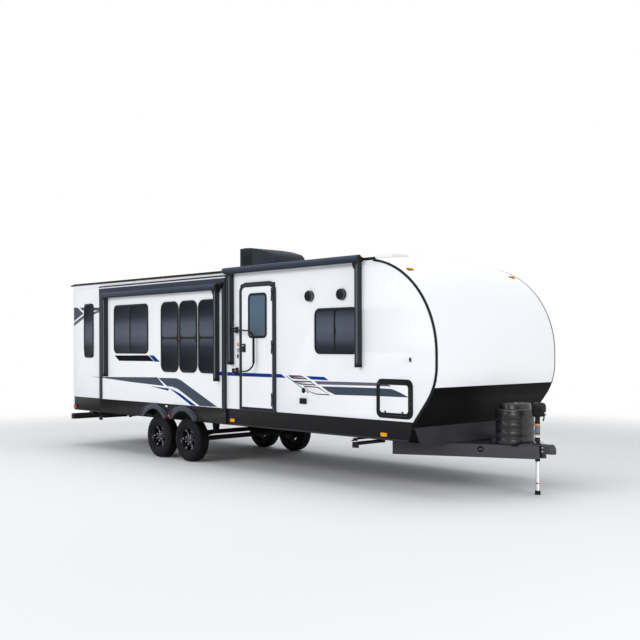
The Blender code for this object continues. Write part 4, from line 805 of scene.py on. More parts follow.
for name, finish, loop in SLIDE_STRIPES:
    stripe(name, loop, finish, DOOR_SIDE, SLIDE_REGIONS)
stripe("rear_stripe_tail", SLIDE_STRIPES[1][2], STRIPE_SLATE, DOOR_SIDE, WALL_REGIONS[:1])
for name, finish, loop in WALL_STRIPES:
    for prefix, side, regions in (("", DOOR_SIDE, WALL_REGIONS), ("off_", OFF_SIDE, OFF_REGIONS)):
        if finish is STRIPE_SILVER:
            stripe(prefix + name + "_border", loop, BADGE_BLACK, side, regions)
            stripe(prefix + name, shrunk(loop, 0.030, 0.014), finish, side, regions, 0.0005)
        else:
            stripe(prefix + name, loop, finish, side, regions)
for name, finish, loop in SLIDE_STRIPES:
    if "badge" not in name:
        stripe("off_" + name, loop, finish, OFF_SIDE, OFF_REGIONS)


# Roof edge and corners

GUTTER_RISE = 0.026
GUTTER_END = station(-1.015)


def along_roof(side, ends, y_range, z_range):
    """Strip along the roof edge that climbs gently towards the rear."""
    (x0, x1), (low, high) = ends, z_range
    loop = [(x0, low + GUTTER_RISE), (x1, low), (x1, high), (x0, high + GUTTER_RISE)]
    return side_slab(side, [loop], *y_range)


def belly_line(word, side, x0, x1):
    """Dark line between a wall and the skirt below it."""
    piece("belly_line_" + word, sided_box(side, span(x0, x1), (HALF - 0.001, HALF + 0.0022),
                                          (BELLY_Z - 0.004, BELLY_Z + 0.002)), TRIM_BLACK)


for side, word in SIDES:
    front_x = GUTTER_END - side * 0.03
    band = [(REAR_X + 0.001, 2.826), (GUTTER_END, 2.826), (GUTTER_END, 2.8535),
            (REAR_X + 0.001, 2.8535 + GUTTER_RISE)]
    piece("roof_edge_band_" + word, side_slab(side, [band], HALF - 0.002, HALF + 0.0035), GELCOAT,
          bevel=0.0010)
    piece("gutter_" + word,
          [along_roof(side, (REAR_X + x, front_x), (HALF + near, HALF + far), z_range)
           for x, near, far, z_range in ((0.001, -0.004, 0.005, (2.854, 2.889)),
                                         (0.004, 0.0052, 0.015, (2.8545, 2.858)),
                                         (0.004, 0.0132, 0.0152, (2.8582, 2.871)))],
          TRIM_BLACK, bevel=0.0006)
    for end, x, z in (("rear", REAR_X - 0.014, 2.846 + GUTTER_RISE),
                      ("front", front_x + 0.002, 2.846)):
        piece("spout_%s_%s" % (word, end),
              [sided_box(side, (x, x + 0.018), (HALF - 0.001, HALF + 0.040), (z, z + 0.006))]
              + [sided_box(side, (cheek, cheek + 0.004), (HALF, HALF + 0.040),
                           (z + 0.0062, z + 0.026)) for cheek in (x, x + 0.014)],
              PLASTIC, bevel=0.0010)
    piece("corner_moulding_" + word,
          [sided_box(side, (REAR_X - 0.0025, x), (HALF + near, HALF + far), (BELLY_Z, 2.824))
           for x, near, far in ((REAR_X + 0.028, 0.0002, 0.003),
                                (REAR_X - 0.0002, -0.030, -0.0002))],
          GELCOAT, bevel=0.0012)
    belly_line(word, side, -8.527, -7.560 if side == DOOR_SIDE else -0.345)
belly_line("front", DOOR_SIDE, -3.912, -3.655)
belly_line("nose", DOOR_SIDE, -2.855, -0.345)
piece("rear_skirt_panel", box((REAR_X - 0.0015, -HALF + 0.004, SKIRT_BOTTOM_Z + 0.002),
                              (REAR_X - 0.0001, HALF - 0.004, BELLY_Z)), SKIRT)

# Strips on the slide-out room, the main awning's front upright and the foot of the skirts

SLIDE_ENDS = (-7.554, -3.972)
SLIDE_RIM = SLIDE_FACE + 0.0143
STRIPS = (
    ("skirt_foot_front", (-3.905, -0.4438), (HALF - 0.002, HALF + 0.0035),
     (SKIRT_BOTTOM_Z + 0.001, 0.664), APRON, "root", 0.0010, 2),
    ("skirt_foot_rear", (-8.484, -7.560), (HALF - 0.002, HALF + 0.0035),
     (SKIRT_BOTTOM_Z + 0.001, 0.664), APRON, "root", 0.0010, 2),
    ("slide_top_band", SLIDE_ENDS, (HALF + 0.006, SLIDE_RIM), (2.7903, 2.8085), GELCOAT, SLIDE,
     0.0008, 2),
    ("slide_top_flange", SLIDE_ENDS, (HALF + 0.006, SLIDE_RIM + 0.006), (2.8087, 2.8300),
     TRIM_BLACK, SLIDE, 0.0008, 2),
    ("slide_head_fascia", SLIDE_ENDS, (SLIDE_RIM, SLIDE_RIM + 0.004), (2.688, 2.7895),
     AWNING_CLOTH, SLIDE, 0.0012, 2),
    ("slide_rear_channel", (-7.548, -7.334), (SLIDE_FACE + 0.0004, SLIDE_RIM + 0.003),
     (1.300, 2.687), SLATE, SLIDE, 0.0015, 2),
    ("slide_rear_edge_cover", (-7.548, -7.468), (SLIDE_FACE + 0.0004, SLIDE_RIM + 0.003),
     (0.886, 1.2995), SLATE, SLIDE, 0.0015, 2),
    ("slide_front_edge_cover", (-4.046, -3.974), (SLIDE_RIM, SLIDE_RIM + 0.003), (0.886, 2.687),
     SLATE, SLIDE, 0.0012, 2),
    # Dark strips behind the main awning's arm: partly the arm's channel, partly a painted drop
    # shadow of the arm.
    ("main_arm_side_channel", (-3.958, -3.9055), (HALF + 0.0006, HALF + 0.030), (1.870, 2.820),
     SLATE, "root", 0.0020, 3),
    ("main_arm_channel", (-3.905, -3.852), (HALF + 0.0004, HALF + 0.050), (1.530, 2.820), SLATE,
     "root", 0.0020, 3),
)
for name, x_range, y_range, z_range, *look in STRIPS:
    piece(name, door_box(span(*x_range), y_range, z_range), *look)

# Painted highlight along the wheel arches: a thin pale blue tube over each flare

BEAD_FOOT_Z = SKIRT_BOTTOM_Z + 0.012
BEAD_HALF = 0.384
BEAD_TOP_Z = 0.855


def arch_points(x):
    """Arch over the wheel at x from its rear foot to its front foot."""
    points = []
    for i in range(25):
        turn = math.radians(172 - 164 * i / 24)
        points.append((x + BEAD_HALF * math.cos(turn),
                       BEAD_FOOT_Z + (BEAD_TOP_Z - BEAD_FOOT_Z) * math.sin(turn)))
    return points


for word, side, outer, body in (("door", DOOR_SIDE, SLIDE_FACE + 0.0195, SLIDE),
                                ("off", OFF_SIDE, HALF + 0.0340, "root")):
    piece("arch_highlight_line_" + word,
          [tube([(u, side * outer, v) for u, v in arch_points(x)], 0.0055, 2) for _, x in WHEELS],
          ARCH_PAINTED_SHINE, body)
wedge = [(-4.150, 2.700), (-4.010, 2.730), (-3.992, 2.712), (-4.062, 2.628), (-4.100, 2.575),
         (-4.150, 2.575)]
piece("slide_awning_end_bracket",
      side_slab(DOOR_SIDE, [[(station(x), z) for x, z in wedge]], SLIDE_RIM + 0.005,
                SLIDE_RIM + 0.036), TRIM_BLACK, SLIDE, bevel=0.004, segments=3)


# Windows

TALL = (1.403, 2.473, 0.100)
NARROW = (-8.116, -7.817, 1.609, 2.526, 0.120)
BEDROOM = (-2.058, -1.300, 1.705, 2.264, 0.070)
WINDOWS = (
    ("rear_narrow", DOOR_SIDE, HALF, "root", NARROW, None),
    ("front_slider", DOOR_SIDE, HALF, "root", BEDROOM, -1.699),
    ("slide_slider", DOOR_SIDE, SLIDE_FACE, SLIDE, (-7.061, -6.040, 1.689, 2.467, 0.070), -6.570),
    ("slide_tall_1", DOOR_SIDE, SLIDE_FACE, SLIDE, (-5.635, -5.183, *TALL), "transom"),
    ("slide_tall_2", DOOR_SIDE, SLIDE_FACE, SLIDE, (-5.129, -4.689, *TALL), "transom"),
    ("slide_tall_3", DOOR_SIDE, SLIDE_FACE, SLIDE, (-4.630, -4.190, *TALL), "transom"),
    ("off_bedroom", OFF_SIDE, HALF, "root", BEDROOM, -1.699),
    ("off_dinette", OFF_SIDE, HALF, "root", (-6.300, -5.000, 1.689, 2.467, 0.070), -5.650),
    ("door_glass", DOOR_SIDE, DOOR_FACE, DOOR, (-3.422, -3.053, 1.922, 2.519, 0.050), None),
)
TRANSOM_Z = 1.919
PANE_RIM = 0.012
HALF_BAR = 0.013


def ring(side, loop, y, radius):
    """Round gasket along a closed outline on a side wall."""
    return tube([(u, side * y, v) for u, v in loop], radius, 2, cyclic=True)


def window_trim(name, side, face, body, size, split):
    proud = face + 0.010
    left, right = station(size[0]) + PANE_RIM, station(size[1]) - PANE_RIM
    foot, head = size[2] + PANE_RIM, size[3] - PANE_RIM
    panes = [(left, right, foot, head)]
    extras = []
    if split == "transom":
        panes = [(left, right, foot, TRANSOM_Z - HALF_BAR),
                 (left, right, TRANSOM_Z + HALF_BAR, head)]
        x, z = (left + right) / 2, TRANSOM_Z - HALF_BAR
        extras = [sided_box(side, (x + across - 0.020, x + across + 0.020),
                            (proud - 0.004, proud + 0.0045), (z - 0.0005, z + 0.008))
                  for across in (-0.12, 0.12)]
        extras.append(sided_box(side, (x - 0.022, x + 0.022), (proud - 0.0058, proud + 0.002),
                                (foot + 0.003, foot + 0.015)))
    elif split:
        x, z = station(split), (foot + head) / 2
        panes = [(left, x - HALF_BAR, foot, head), (x + HALF_BAR, right, foot, head)]
        extras = [sided_box(side, (x - 0.006, x + 0.006), (proud - 0.001, proud + 0.003),
                            (foot + 0.006, head - 0.006)),
                  sided_box(side, (x + HALF_BAR + 0.003, x + HALF_BAR + 0.012),
                            (proud - 0.0058, proud + 0.003), (z - 0.030, z + 0.030))]
        extras += [sided_box(side, (drain - 0.010, drain + 0.010), (face + 0.0095, face + 0.0125),
                             (size[2] - 0.012, size[2] - 0.006))
                   for drain in (left + 0.10, right - 0.10)]
    piece(name + "_flange_seal", ring(side, opening(size, 0.0165), face + 0.0035, 0.0030), SEAL,
          body)
    piece(name + "_pane_beads",
          [ring(side, round_rect(*pane, size[4] * 0.6), proud - 0.0045, 0.0028) for pane in panes],
          SEAL, body)
    if extras:
        piece(name + "_fittings", extras, PLASTIC, body, bevel=0.001)


for row in WINDOWS:
    window_trim(*row)
piece("rear_narrow_corner_flange",
      side_slab(DOOR_SIDE, [opening(NARROW, 0.0185, 0.060), opening(NARROW, 0.0172)],
                HALF + 0.0003, HALF + 0.0032), TRIM_BLACK, bevel=0.0008)


# Awnings: name, body, face, stand-off, ends and height of the roll, arms, foot of the arms

AWNINGS = (
    ("main", "root", HALF, 0.062, (-3.936, -1.179, 2.884), (-3.850, -1.263), 1.530),
    ("slide", SLIDE, SLIDE_FACE, 0.058, (-7.330, -4.095, 2.668), (-7.330, -4.170), 1.280),
)
ROLL_RADIUS = 0.0405


def awning_trim(name, body, face, stand, roll, arms, foot_z):
    side = DOOR_SIDE
    (rear, front), height = span(*roll[:2]), roll[2]
    y = face + stand + 0.0168
    outer = face + 0.080
    cap = [(0, 0.014), (0.012, 0.014), (0.014, 0.010), (0.034, 0.008), (ROLL_RADIUS, 0.002),
           (0.0412, -0.012), (0.0, -0.012)]
    piece(name + "_awning_caps", [lathe(cap, 32, facing((way, 0, 0), x, side * y, height))
                                  for x, way in ((rear, -1), (front, 1))], PLASTIC, body)
    seams = []
    for k in range(3):
        turn = math.radians(200 + 55 * k)
        u, v = y + ROLL_RADIUS * math.cos(turn), height + ROLL_RADIUS * math.sin(turn)
        seams.append(sided_box(side, (rear + 0.016, front - 0.016), (u - 0.001, u + 0.001),
                               (v - 0.004, v + 0.004)))
    piece(name + "_awning_seams", seams, SLATE, body, bevel=0.0006)
    # A paler line along the front of the roll: a painted highlight.
    highlight_line = [(x, side * (y + 0.0358), height + 0.008) for x in (rear + 0.022, front - 0.022)]
    piece(name + "_awning_highlight_strip", tube(highlight_line, 0.0055, 3), CLOTH_PAINTED_HIGHLIGHT, body)
    inserts, joints, feet, knees = [], [], [], []
    for x in span(*arms):
        middle = x + 0.026
        inserts.append(sided_box(side, (middle - 0.002, middle + 0.0255),
                                 (outer - 0.001, outer + 0.0016), (foot_z + 0.045, height - 0.060)))
        for edge in (-0.0235, -0.0050):
            joints.append(sided_box(side, (middle + edge - 0.002, middle + edge + 0.002),
                                    (outer - 0.0005, outer + 0.0026),
                                    (foot_z + 0.030, height - 0.050)))
        loop = [(x + u, height - v) for u, v in
                ((0.030, 0.010), (-0.060, 0.034), (-0.064, 0.060), (-0.046, 0.110),
                 (-0.010, 0.160), (0.010, 0.165), (0.010, 0.060))]
        knees.append(side_slab(side, [loop], face + 0.030, face + 0.060))
        knees.append(pin(side, x + 0.020, (outer - 0.020, outer + 0.006), height - 0.050, 0.030,
                         32))
        for z in (foot_z + 0.020, foot_z + 0.30, (foot_z + height) / 2, height - 0.085):
            joints.append(pin(side, middle, (outer, outer + 0.0045), z, 0.0060, 16))
        feet.append(sided_box(side, (x - 0.002, x + 0.054), (face + 0.0005, face + 0.082),
                              (foot_z - 0.006, foot_z + 0.034)))
    piece(name + "_arm_inserts", inserts, SLATE_PALE, body, bevel=0.0006)
    piece(name + "_arm_ribs", joints, SLATE, body, bevel=0.0005)
    piece(name + "_arm_feet", feet, TRIM_BLACK, body, bevel=0.0012)
    piece(name + "_arm_knees", knees, TRIM_BLACK, body, bevel=0.0030, segments=3)
    rail = [sided_box(side, (rear + 0.012, front - 0.012), (face + 0.0005, face + far),
                      (height + low, height + high))
            for far, low, high in ((0.012, 0.0125, 0.020), (0.008, -0.044, -0.0305))]
    piece(name + "_awning_rail", rail, SLATE_PALE, body, bevel=0.0010)
    hem = sided_box(side, (rear + 0.020, front - 0.020), (y - 0.006, y + 0.004),
                    (height - 0.054, height - 0.038))
    piece(name + "_lead_rail", hem, SLATE, body, bevel=0.0015)


for row in AWNINGS:
    awning_trim(*row)


# Entry door

DOOR_LEFT, DOOR_RIGHT = span(-3.653, -2.857)
INNER_LEFT, INNER_RIGHT = DOOR_LEFT + 0.062, DOOR_RIGHT - 0.062
HINGE_X = INNER_RIGHT - 0.0015
LATCH_X = INNER_LEFT + 0.015


def arched_rect(u0, u1, v0, v1, inset, radius, steps=10):
    """Outline with a square foot and a rounded head, drawn in by an inset."""
    u0, u1, v0, v1 = u0 + inset, u1 - inset, v0 + inset, v1 - inset
    loop = [(u0, v0), (u1, v0)]
    loop += arc((u1 - radius, v1 - radius), radius, 0, 90, steps)
    loop += arc((u0 + radius, v1 - radius), radius, 90, 180, steps)
    return loop


def door_outline(inset, radius):
    return arched_rect(INNER_LEFT, INNER_RIGHT, 0.920, 2.632, inset, radius)


def frame_outline(inset, radius):
    return arched_rect(DOOR_LEFT, DOOR_RIGHT, 0.872, 2.694, inset, radius)


piece("door_edge_moulding",
      side_slab(DOOR_SIDE, [door_outline(0.006, 0.072), door_outline(0.022, 0.058)],
                DOOR_FACE - 0.0004, DOOR_FACE + 0.0022), GELCOAT, DOOR, bevel=0.0008)
piece("door_frame_lip",
      side_slab(DOOR_SIDE, [frame_outline(0.004, 0.136), frame_outline(0.018, 0.122)],
                HALF + 0.0178, HALF + 0.0215), SLATE, bevel=0.0010)
paddle = side_slab(DOOR_SIDE, [round_rect(LATCH_X + 0.006, LATCH_X + 0.064, 1.712, 1.768, 0.008)],
                   DOOR_FACE + 0.0138, DOOR_FACE + 0.0170)
grip = door_box((LATCH_X + 0.010, LATCH_X + 0.060), (DOOR_FACE + 0.0170, DOOR_FACE + 0.023),
                (1.716, 1.730))
piece("door_latch_paddle", [paddle, grip], PLASTIC, DOOR, bevel=0.0015)
locks, key_slots = [], []
for x, radius in ((LATCH_X + 0.022, 0.0105), (LATCH_X + 0.050, 0.0085)):
    locks.append(lathe([(0, 0.004), (radius * 0.75, 0.004), (radius, 0.001), (radius, -0.002),
                        (0, -0.002)], 28, outward(DOOR_SIDE, x, DOOR_FACE + 0.0142, 1.798)))
    key_slots.append(door_box((x - 0.001, x + 0.001), (DOOR_FACE + 0.0180, DOOR_FACE + 0.0186),
                              (1.792, 1.804)))
piece("door_lock_barrels", locks, ZINC, DOOR)
piece("door_key_slots", key_slots, SEAL, DOOR)
pins, screws = [], []
for height in (1.050, 1.776, 2.502):
    y = DOOR_FACE + 0.011
    for low, high in ((-0.096, -0.0901), (0.0901, 0.096)):
        pins.append(cylinder((HINGE_X, -y, height + low), (HINGE_X, -y, height + high), 0.0072, 20))
    for dz in (-0.070, 0.070):
        screws.append(pin(DOOR_SIDE, HINGE_X + 0.020, (y + 0.0001, y + 0.0025), height + dz, 0.0042,
                          14))
piece("door_hinge_pins", pins + screws, ZINC)
piece("door_sill_ribs", [door_box((INNER_LEFT + 0.004, INNER_RIGHT - 0.004),
                                  (HALF + 0.0178, HALF + 0.0198), (z, z + 0.003))
                         for z in [0.8765 + 0.006 * i for i in range(7)]], TRIM_BLACK, bevel=0.0004)
piece("door_seal", ring(DOOR_SIDE, door_outline(0.001, 0.077), HALF - 0.036, 0.0025), SEAL)


# Grab handle fittings

HANDLE_X = station(-3.720)
HANDLE_Y = -HALF - 0.075
HANDLE_REACH = 0.460
knobs = []
for z in (2.025, 1.435):
    for dz in (-0.0362, 0.0362):
        low, high = sorted((z + dz, z + dz * 1.08))
        knobs.append(cylinder((HANDLE_X, HANDLE_Y, low), (HANDLE_X, HANDLE_Y, high), 0.0085, 20))
    for dz in (-0.030, 0.030):
        for dx in (-0.022, 0.022):
            knobs.append(pin(DOOR_SIDE, HANDLE_X + dx, (HALF + 0.0115, HALF + 0.0145), z + dz,
                             0.0045, 12))
piece("handle_pins_and_screws", knobs, ZINC)
# Black sleeve thicker than the handle's tube: partly a foam grip, partly a painted shadow that
# widens the handle.
grip_points = [(HANDLE_X + HANDLE_REACH, HANDLE_Y, 1.550 + 0.036 * i) for i in range(11)]
piece("handle_grip_and_painted_shadow", tube(grip_points, 0.0170, 4), SEAL, "grab_handle")


# Baggage doors

BAGGAGE = (-0.930, -0.413, 0.951, 1.349, 0.060)
RING_FOOT_Z = 0.914
RING_CORNER = 0.080
THICK_TOP_Z = 1.305
LATCH = [(0, 0.010), (0.010, 0.010), (0.014, 0.006), (0.0155, 0.003), (0.0185, 0.0015),
         (0.0185, -0.001), (0, -0.001)]
CATCH = [(0, 0.007), (0.012, 0.006), (0.016, 0.002), (0.016, 0.0), (0, 0.0)]
for side, word in SIDES:
    body = "baggage_door_%s_side" % word
    left, right = span(-0.959, -0.371)
    u0, u1, low, r = station(BAGGAGE[0]) - 0.003, station(BAGGAGE[1]) + 0.003, 0.948, 0.058
    outer = round_rect(left, right, RING_FOOT_Z, 1.390, RING_CORNER)
    inner = [(u0 - 0.0035, 1.3735), (u0 - 0.0035, 1.290), (u0, 1.280)]
    inner += arc((u0 + r, low + r), r, 180, 270, 8) + arc((u1 - r, low + r), r, 270, 360, 8)
    inner += [(u1, 1.280), (u1 + 0.0035, 1.290), (u1 + 0.0035, 1.3735)]
    # Thick below, thin across the top: the open door folds up over the top bar.
    z = RING_FOOT_Z + RING_CORNER
    thick = [(left, THICK_TOP_Z)] + arc((left + RING_CORNER, z), RING_CORNER, 180, 270, 8)
    thick += arc((right - RING_CORNER, z), RING_CORNER, 270, 360, 8) + [(right, THICK_TOP_Z)]
    thick += [(u1 + 0.0035, THICK_TOP_Z)] + inner[::-1][1:-1] + [(u0 - 0.0035, THICK_TOP_Z)]
    film = [round_rect(left + 0.008, right - 0.008, 0.922, 1.382, 0.072),
            opening(BAGGAGE, 0.003, 0.061)]
    for name, loops, far, bevel in (("ring", [thick], 0.0085, 0.0015),
                                    ("ring_top", [outer, inner], 0.003, 0.0),
                                    ("corner_film", film, 0.0012, 0.0)):
        piece("baggage_%s_%s" % (name, word), side_slab(side, loops, HALF + 0.0002, HALF + far),
              TRIM_BLACK, bevel=bevel)
    piece("baggage_catch_" + word,
          lathe(CATCH, 28, outward(side, station(-0.392), HALF + 0.0086, 1.095)), PLASTIC)
    edge = [opening(BAGGAGE, -0.001, 0.058), opening(BAGGAGE, -0.030, 0.036)]
    piece("baggage_edge_" + word, side_slab(side, edge, HATCH_FACE - 0.0004, HATCH_FACE + 0.0018),
          TRIM_BLACK, body, bevel=0.0006)
    places = span(-0.816, -0.531)
    piece("baggage_latches_" + word,
          [lathe(LATCH, 32, outward(side, x, HATCH_FACE, 0.985)) for x in places], PLASTIC, body)
    piece("baggage_latch_slots_" + word,
          [sided_box(side, (x - 0.0085, x + 0.0085), (HATCH_FACE + 0.0095, HATCH_FACE + 0.0112),
                     (0.983, 0.987)) for x in places], ZINC, body, bevel=0.0004)
    piece("baggage_hold_back_" + word,
          [sided_box(side, span(x0, x1), (HALF + near, HALF + far), z_range)
           for x0, x1, near, far, z_range in ((-0.418, -0.396, 0.0002, 0.012, (1.600, 1.650)),
                                              (-0.413, -0.401, 0.0122, 0.026, (1.626, 1.640)))],
          PLASTIC, bevel=0.0015)


# Lamps

MARKER = (0.098, 0.046)
BACK = REAR_X - 0.0002


def lamp(name, side, x, z, size, face, finish, body="root", depth=0.018, radius=0.010):
    """Lens on a dark base against a side wall."""
    x, half, rise = station(x), size[0] / 2, size[1] / 2
    base = round_rect(x - half - 0.006, x + half + 0.006, z - rise - 0.006, z + rise + 0.006,
                      radius + 0.005)
    glass = round_rect(x - half, x + half, z - rise, z + rise, radius)
    piece(name + "_base", side_slab(side, [base], face - 0.0006, face + 0.005), PLASTIC, body,
          bevel=0.0012)
    piece(name + "_lens", side_slab(side, [glass], face + 0.0048, face + depth), finish, body,
          bevel=min(0.006, depth * 0.3), segments=4, angle=40)


for side, word in SIDES:
    lamp("marker_nose_" + word, side, -0.832, 0.710, MARKER, HALF, AMBER)
    lamp("marker_rear_" + word, side, -8.446, 0.703, MARKER, HALF, RED)
lamp("marker_door", DOOR_SIDE, -3.822, 0.716, MARKER, HALF, AMBER)
lamp("marker_mid_off", OFF_SIDE, -3.822, 0.716, MARKER, HALF, AMBER)
lamp("reflector_slide", DOOR_SIDE, -5.395, 0.700, (0.060, 0.030), SLIDE_FACE + 0.0206, RED, SLIDE,
     0.012)
lamp("oval_port", DOOR_SIDE, -5.489, 0.845, (0.052, 0.026), SLIDE_FACE, CLEAR, SLIDE, 0.014, 0.0125)

for word, y in (("door", -1.050), ("off", 1.035)):
    x, z, out = on_cap(station(-0.560))
    axes = Matrix(((-out[1], 0, out[0], x), (0, 1, 0, y),
                   (out[0], 0, out[1], crowned(x, z, y / HALF)[2]), (0, 0, 0, 1)))
    for label, half_x, half_y, low, high, finish, soft in (
            ("base", 0.022, 0.052, -0.004, 0.006, PLASTIC, 0.003),
            ("lens", 0.016, 0.046, 0.0058, 0.020, AMBER, 0.006)):
        mesh = box((-half_x, -half_y, low), (half_x, half_y, high))
        mesh.transform(axes)
        piece("cap_lamp_%s_%s" % (word, label), mesh, finish, bevel=soft, segments=3)

for side, word in SIDES:
    low, high = sorted((side * 0.960, side * 1.080))
    piece("tail_lamp_base_" + word, box((BACK - 0.010, low - 0.008, 1.150),
                                        (BACK, high + 0.008, 1.460)), PLASTIC, bevel=0.004,
          segments=3)
    for label, z0, z1, finish in (("stop", 1.305, 1.450, RED), ("reverse", 1.235, 1.300, CLEAR),
                                  ("turn", 1.160, 1.230, AMBER)):
        piece("tail_lamp_%s_%s" % (label, word), box((BACK - 0.034, low, z0),
                                                     (BACK - 0.0098, high, z1)),
              finish, bevel=0.007, segments=4)
for i, y in enumerate((-1.05, -0.15, 0.0, 0.15, 1.05)):
    piece("rear_clearance_base_%d" % i, box((BACK - 0.005, y - 0.052, 2.742),
                                            (BACK, y + 0.052, 2.790)), PLASTIC, bevel=0.0015)
    piece("rear_clearance_lens_%d" % i, box((BACK - 0.020, y - 0.045, 2.748),
                                            (BACK - 0.0048, y + 0.045, 2.784)), RED,
          bevel=0.005, segments=3)


# Wall fittings of the door side

VENT_LEFT, VENT_RIGHT = span(-2.365, -2.236)
BUTTON_X = station(-3.702)


def hoop(radius, height, half_width, half_height):
    """Profile of a ring whose flat top is narrower than its foot."""
    return [(radius - half_width, height), (radius - half_width / 3, height + half_height * 2),
            (radius + half_width / 3, height + half_height * 2), (radius + half_width, height),
            (radius - half_width, height)]


for name, x in (("speaker_rear", -2.160), ("speaker_front", -1.560)):
    matrix = outward(DOOR_SIDE, station(x), HALF, 2.450)
    piece(name + "_body",
          lathe([(0, 0.058), (0.050, 0.058), (0.059, 0.056), (0.066, 0.050), (0.069, 0.042),
                 (0.070, 0.014), (0.074, 0.010), (0.075, 0.004), (0.073, 0.0004), (0, 0.0004)],
                56, matrix), PLASTIC)
    # Pale grey ring round each speaker's side: a painted highlight on the black body.
    piece(name + "_rim", lathe([(0.0685, 0.046), (0.0712, 0.044), (0.0712, 0.018),
                                (0.0685, 0.016), (0.0685, 0.046)], 56, matrix), SLATE_PALE)
    grille = [lathe(hoop(radius, 0.0575, 0.003, 0.0015), 48, matrix)
              for radius in (0.014, 0.025, 0.036, 0.046)]
    for k in range(3):
        bar = box((0.006, -0.0035, 0.0576), (0.054, 0.0035, 0.0618))
        bar.transform(matrix @ Matrix.Rotation(math.tau * k / 3 + 0.5, 4, "Z"))
        grille.append(bar)
    piece(name + "_grille", grille, TRIM_BLACK)
piece("vent_box", door_box((VENT_LEFT, VENT_RIGHT), (HALF + 0.0003, HALF + 0.018), (1.020, 1.095)),
      PLASTIC, bevel=0.004, segments=3)
piece("vent_louvres", [door_box((VENT_LEFT + 0.010, VENT_RIGHT - 0.010),
                                (HALF + 0.0178, HALF + 0.0225), (z, z + 0.006))
                       for z in [1.030 + 0.014 * i for i in range(5)]], TRIM_BLACK, bevel=0.001)
piece("water_inlet", lathe([(0, 0.016), (0.018, 0.016), (0.022, 0.012), (0.025, 0.004),
                            (0.036, 0.003), (0.036, 0.0003), (0, 0.0003)], 40,
                           outward(DOOR_SIDE, station(-2.299), HALF, 1.198)), TRIM_BLACK)
for name, z, wide, tall, finish in (("amber", 1.816, 0.036, 0.060, AMBER),
                                    ("blue", 1.733, 0.044, 0.066, PALE_BLUE),
                                    ("dark", 1.646, 0.030, 0.058, TRIM_BLACK)):
    for label, grow, near, far, look in (("bezel_", 0.005, 0.0003, 0.004, CLEAR),
                                         ("", 0.0, 0.0042, 0.010, finish)):
        loop = round_rect(BUTTON_X - wide / 2 - grow, BUTTON_X + wide / 2 + grow,
                          z - tall / 2 - grow, z + tall / 2 + grow, wide / 2 + grow - 0.001)
        piece("button_" + label + name, side_slab(DOOR_SIDE, [loop], HALF + near, HALF + far),
              look, bevel=0.0012, segments=3)


# Wheels

TREAD_STEPS = 144
SPOKES = 6
NUT_CIRCLE = 0.0698
# Radius, distance from the middle plane and kind of groove that cuts into it
TREAD = [(0.1905, 0.078, 0), (0.1925, 0.088, 0), (0.1985, 0.0945, 0), (0.206, 0.0965, 0),
         (0.211, 0.0950, 0), (0.214, 0.0972, 0), (0.232, 0.1005, 0), (0.234, 0.1016, 0),
         (0.238, 0.1016, 0), (0.240, 0.1006, 0), (0.262, 0.1018, 0), (0.264, 0.1025, 0),
         (0.268, 0.1025, 0), (0.270, 0.1015, 0), (0.290, 0.0990, 0), (0.303, 0.0955, 1),
         (0.316, 0.0900, 2), (0.327, 0.0840, 2), (0.3345, 0.0770, 2), (0.3375, 0.0690, 2),
         (0.3385, 0.0510, 2), (0.3310, 0.0490, 0), (0.3310, 0.0430, 0), (0.3390, 0.0410, 3),
         (0.3397, 0.0260, 3), (0.3397, 0.0130, 3), (0.3315, 0.0115, 0), (0.3315, 0.0060, 0),
         (0.3400, 0.0045, 0)]
CUTS = {0: 0.0, 1: 0.003, 2: 0.0065, 3: 0.0050}
BARREL = [(0.1900, 0.0880), (0.1870, 0.0900), (0.1830, 0.0885), (0.1800, 0.0800),
          (0.1765, 0.0740), (0.1740, 0.0600), (0.1700, 0.0400), (0.1600, 0.0250),
          (0.1580, -0.0300), (0.1720, -0.0500), (0.1760, -0.0800), (0.1860, -0.0885),
          (0.1900, -0.0880), (0.1900, -0.0700), (0.1780, -0.0400), (0.1780, 0.0500),
          (0.1900, 0.0700), (0.1900, 0.0880)]
TURNED = (
    ("rim_hub_", RIM_BLACK, 64, [(0, 0.0540), (0.056, 0.0540), (0.080, 0.0500), (0.088, 0.0450),
                                 (0.089, 0.0300), (0.080, 0.0240), (0, 0.0240)]),
    ("hub_cap_", RIM_BLACK, 48, [(0, 0.0895), (0.020, 0.0890), (0.029, 0.0860), (0.0335, 0.0790),
                                 (0.0345, 0.0600), (0.0375, 0.0590), (0.0380, 0.0530),
                                 (0, 0.0530)]),
    ("hub_band_", CHROME, 48, [(0.0336, 0.0800), (0.0352, 0.0780), (0.0356, 0.0700),
                               (0.0340, 0.0690), (0.0336, 0.0800)]),
    ("hub_ring_", MACHINED, 64, [(0.0400, 0.0535), (0.0410, 0.0552), (0.0435, 0.0552),
                                 (0.0445, 0.0535), (0.0400, 0.0535)]),
)
DRUM = [(0, -0.012), (0.060, -0.012), (0.066, -0.002), (0.078, -0.002), (0.084, -0.014),
        (0.128, -0.016), (0.136, -0.024), (0.138, -0.050), (0.134, -0.052), (0.134, -0.060),
        (0.140, -0.064), (0.140, -0.1375), (0, -0.1375)]
NUT = [(0, 0.0760), (0.0070, 0.0755), (0.0100, 0.0725), (0.0105, 0.0500), (0, 0.0500)]
NUT_SEAT = [(0.0105, 0.0520), (0.0125, 0.0535), (0.0140, 0.0535), (0.0145, 0.0500),
            (0.0105, 0.0500), (0.0105, 0.0520)]
STEM = [(0, 0.064), (0.0030, 0.064), (0.0036, 0.058), (0.0032, 0.050), (0.0052, 0.044),
        (0.0060, 0.030), (0, 0.030)]


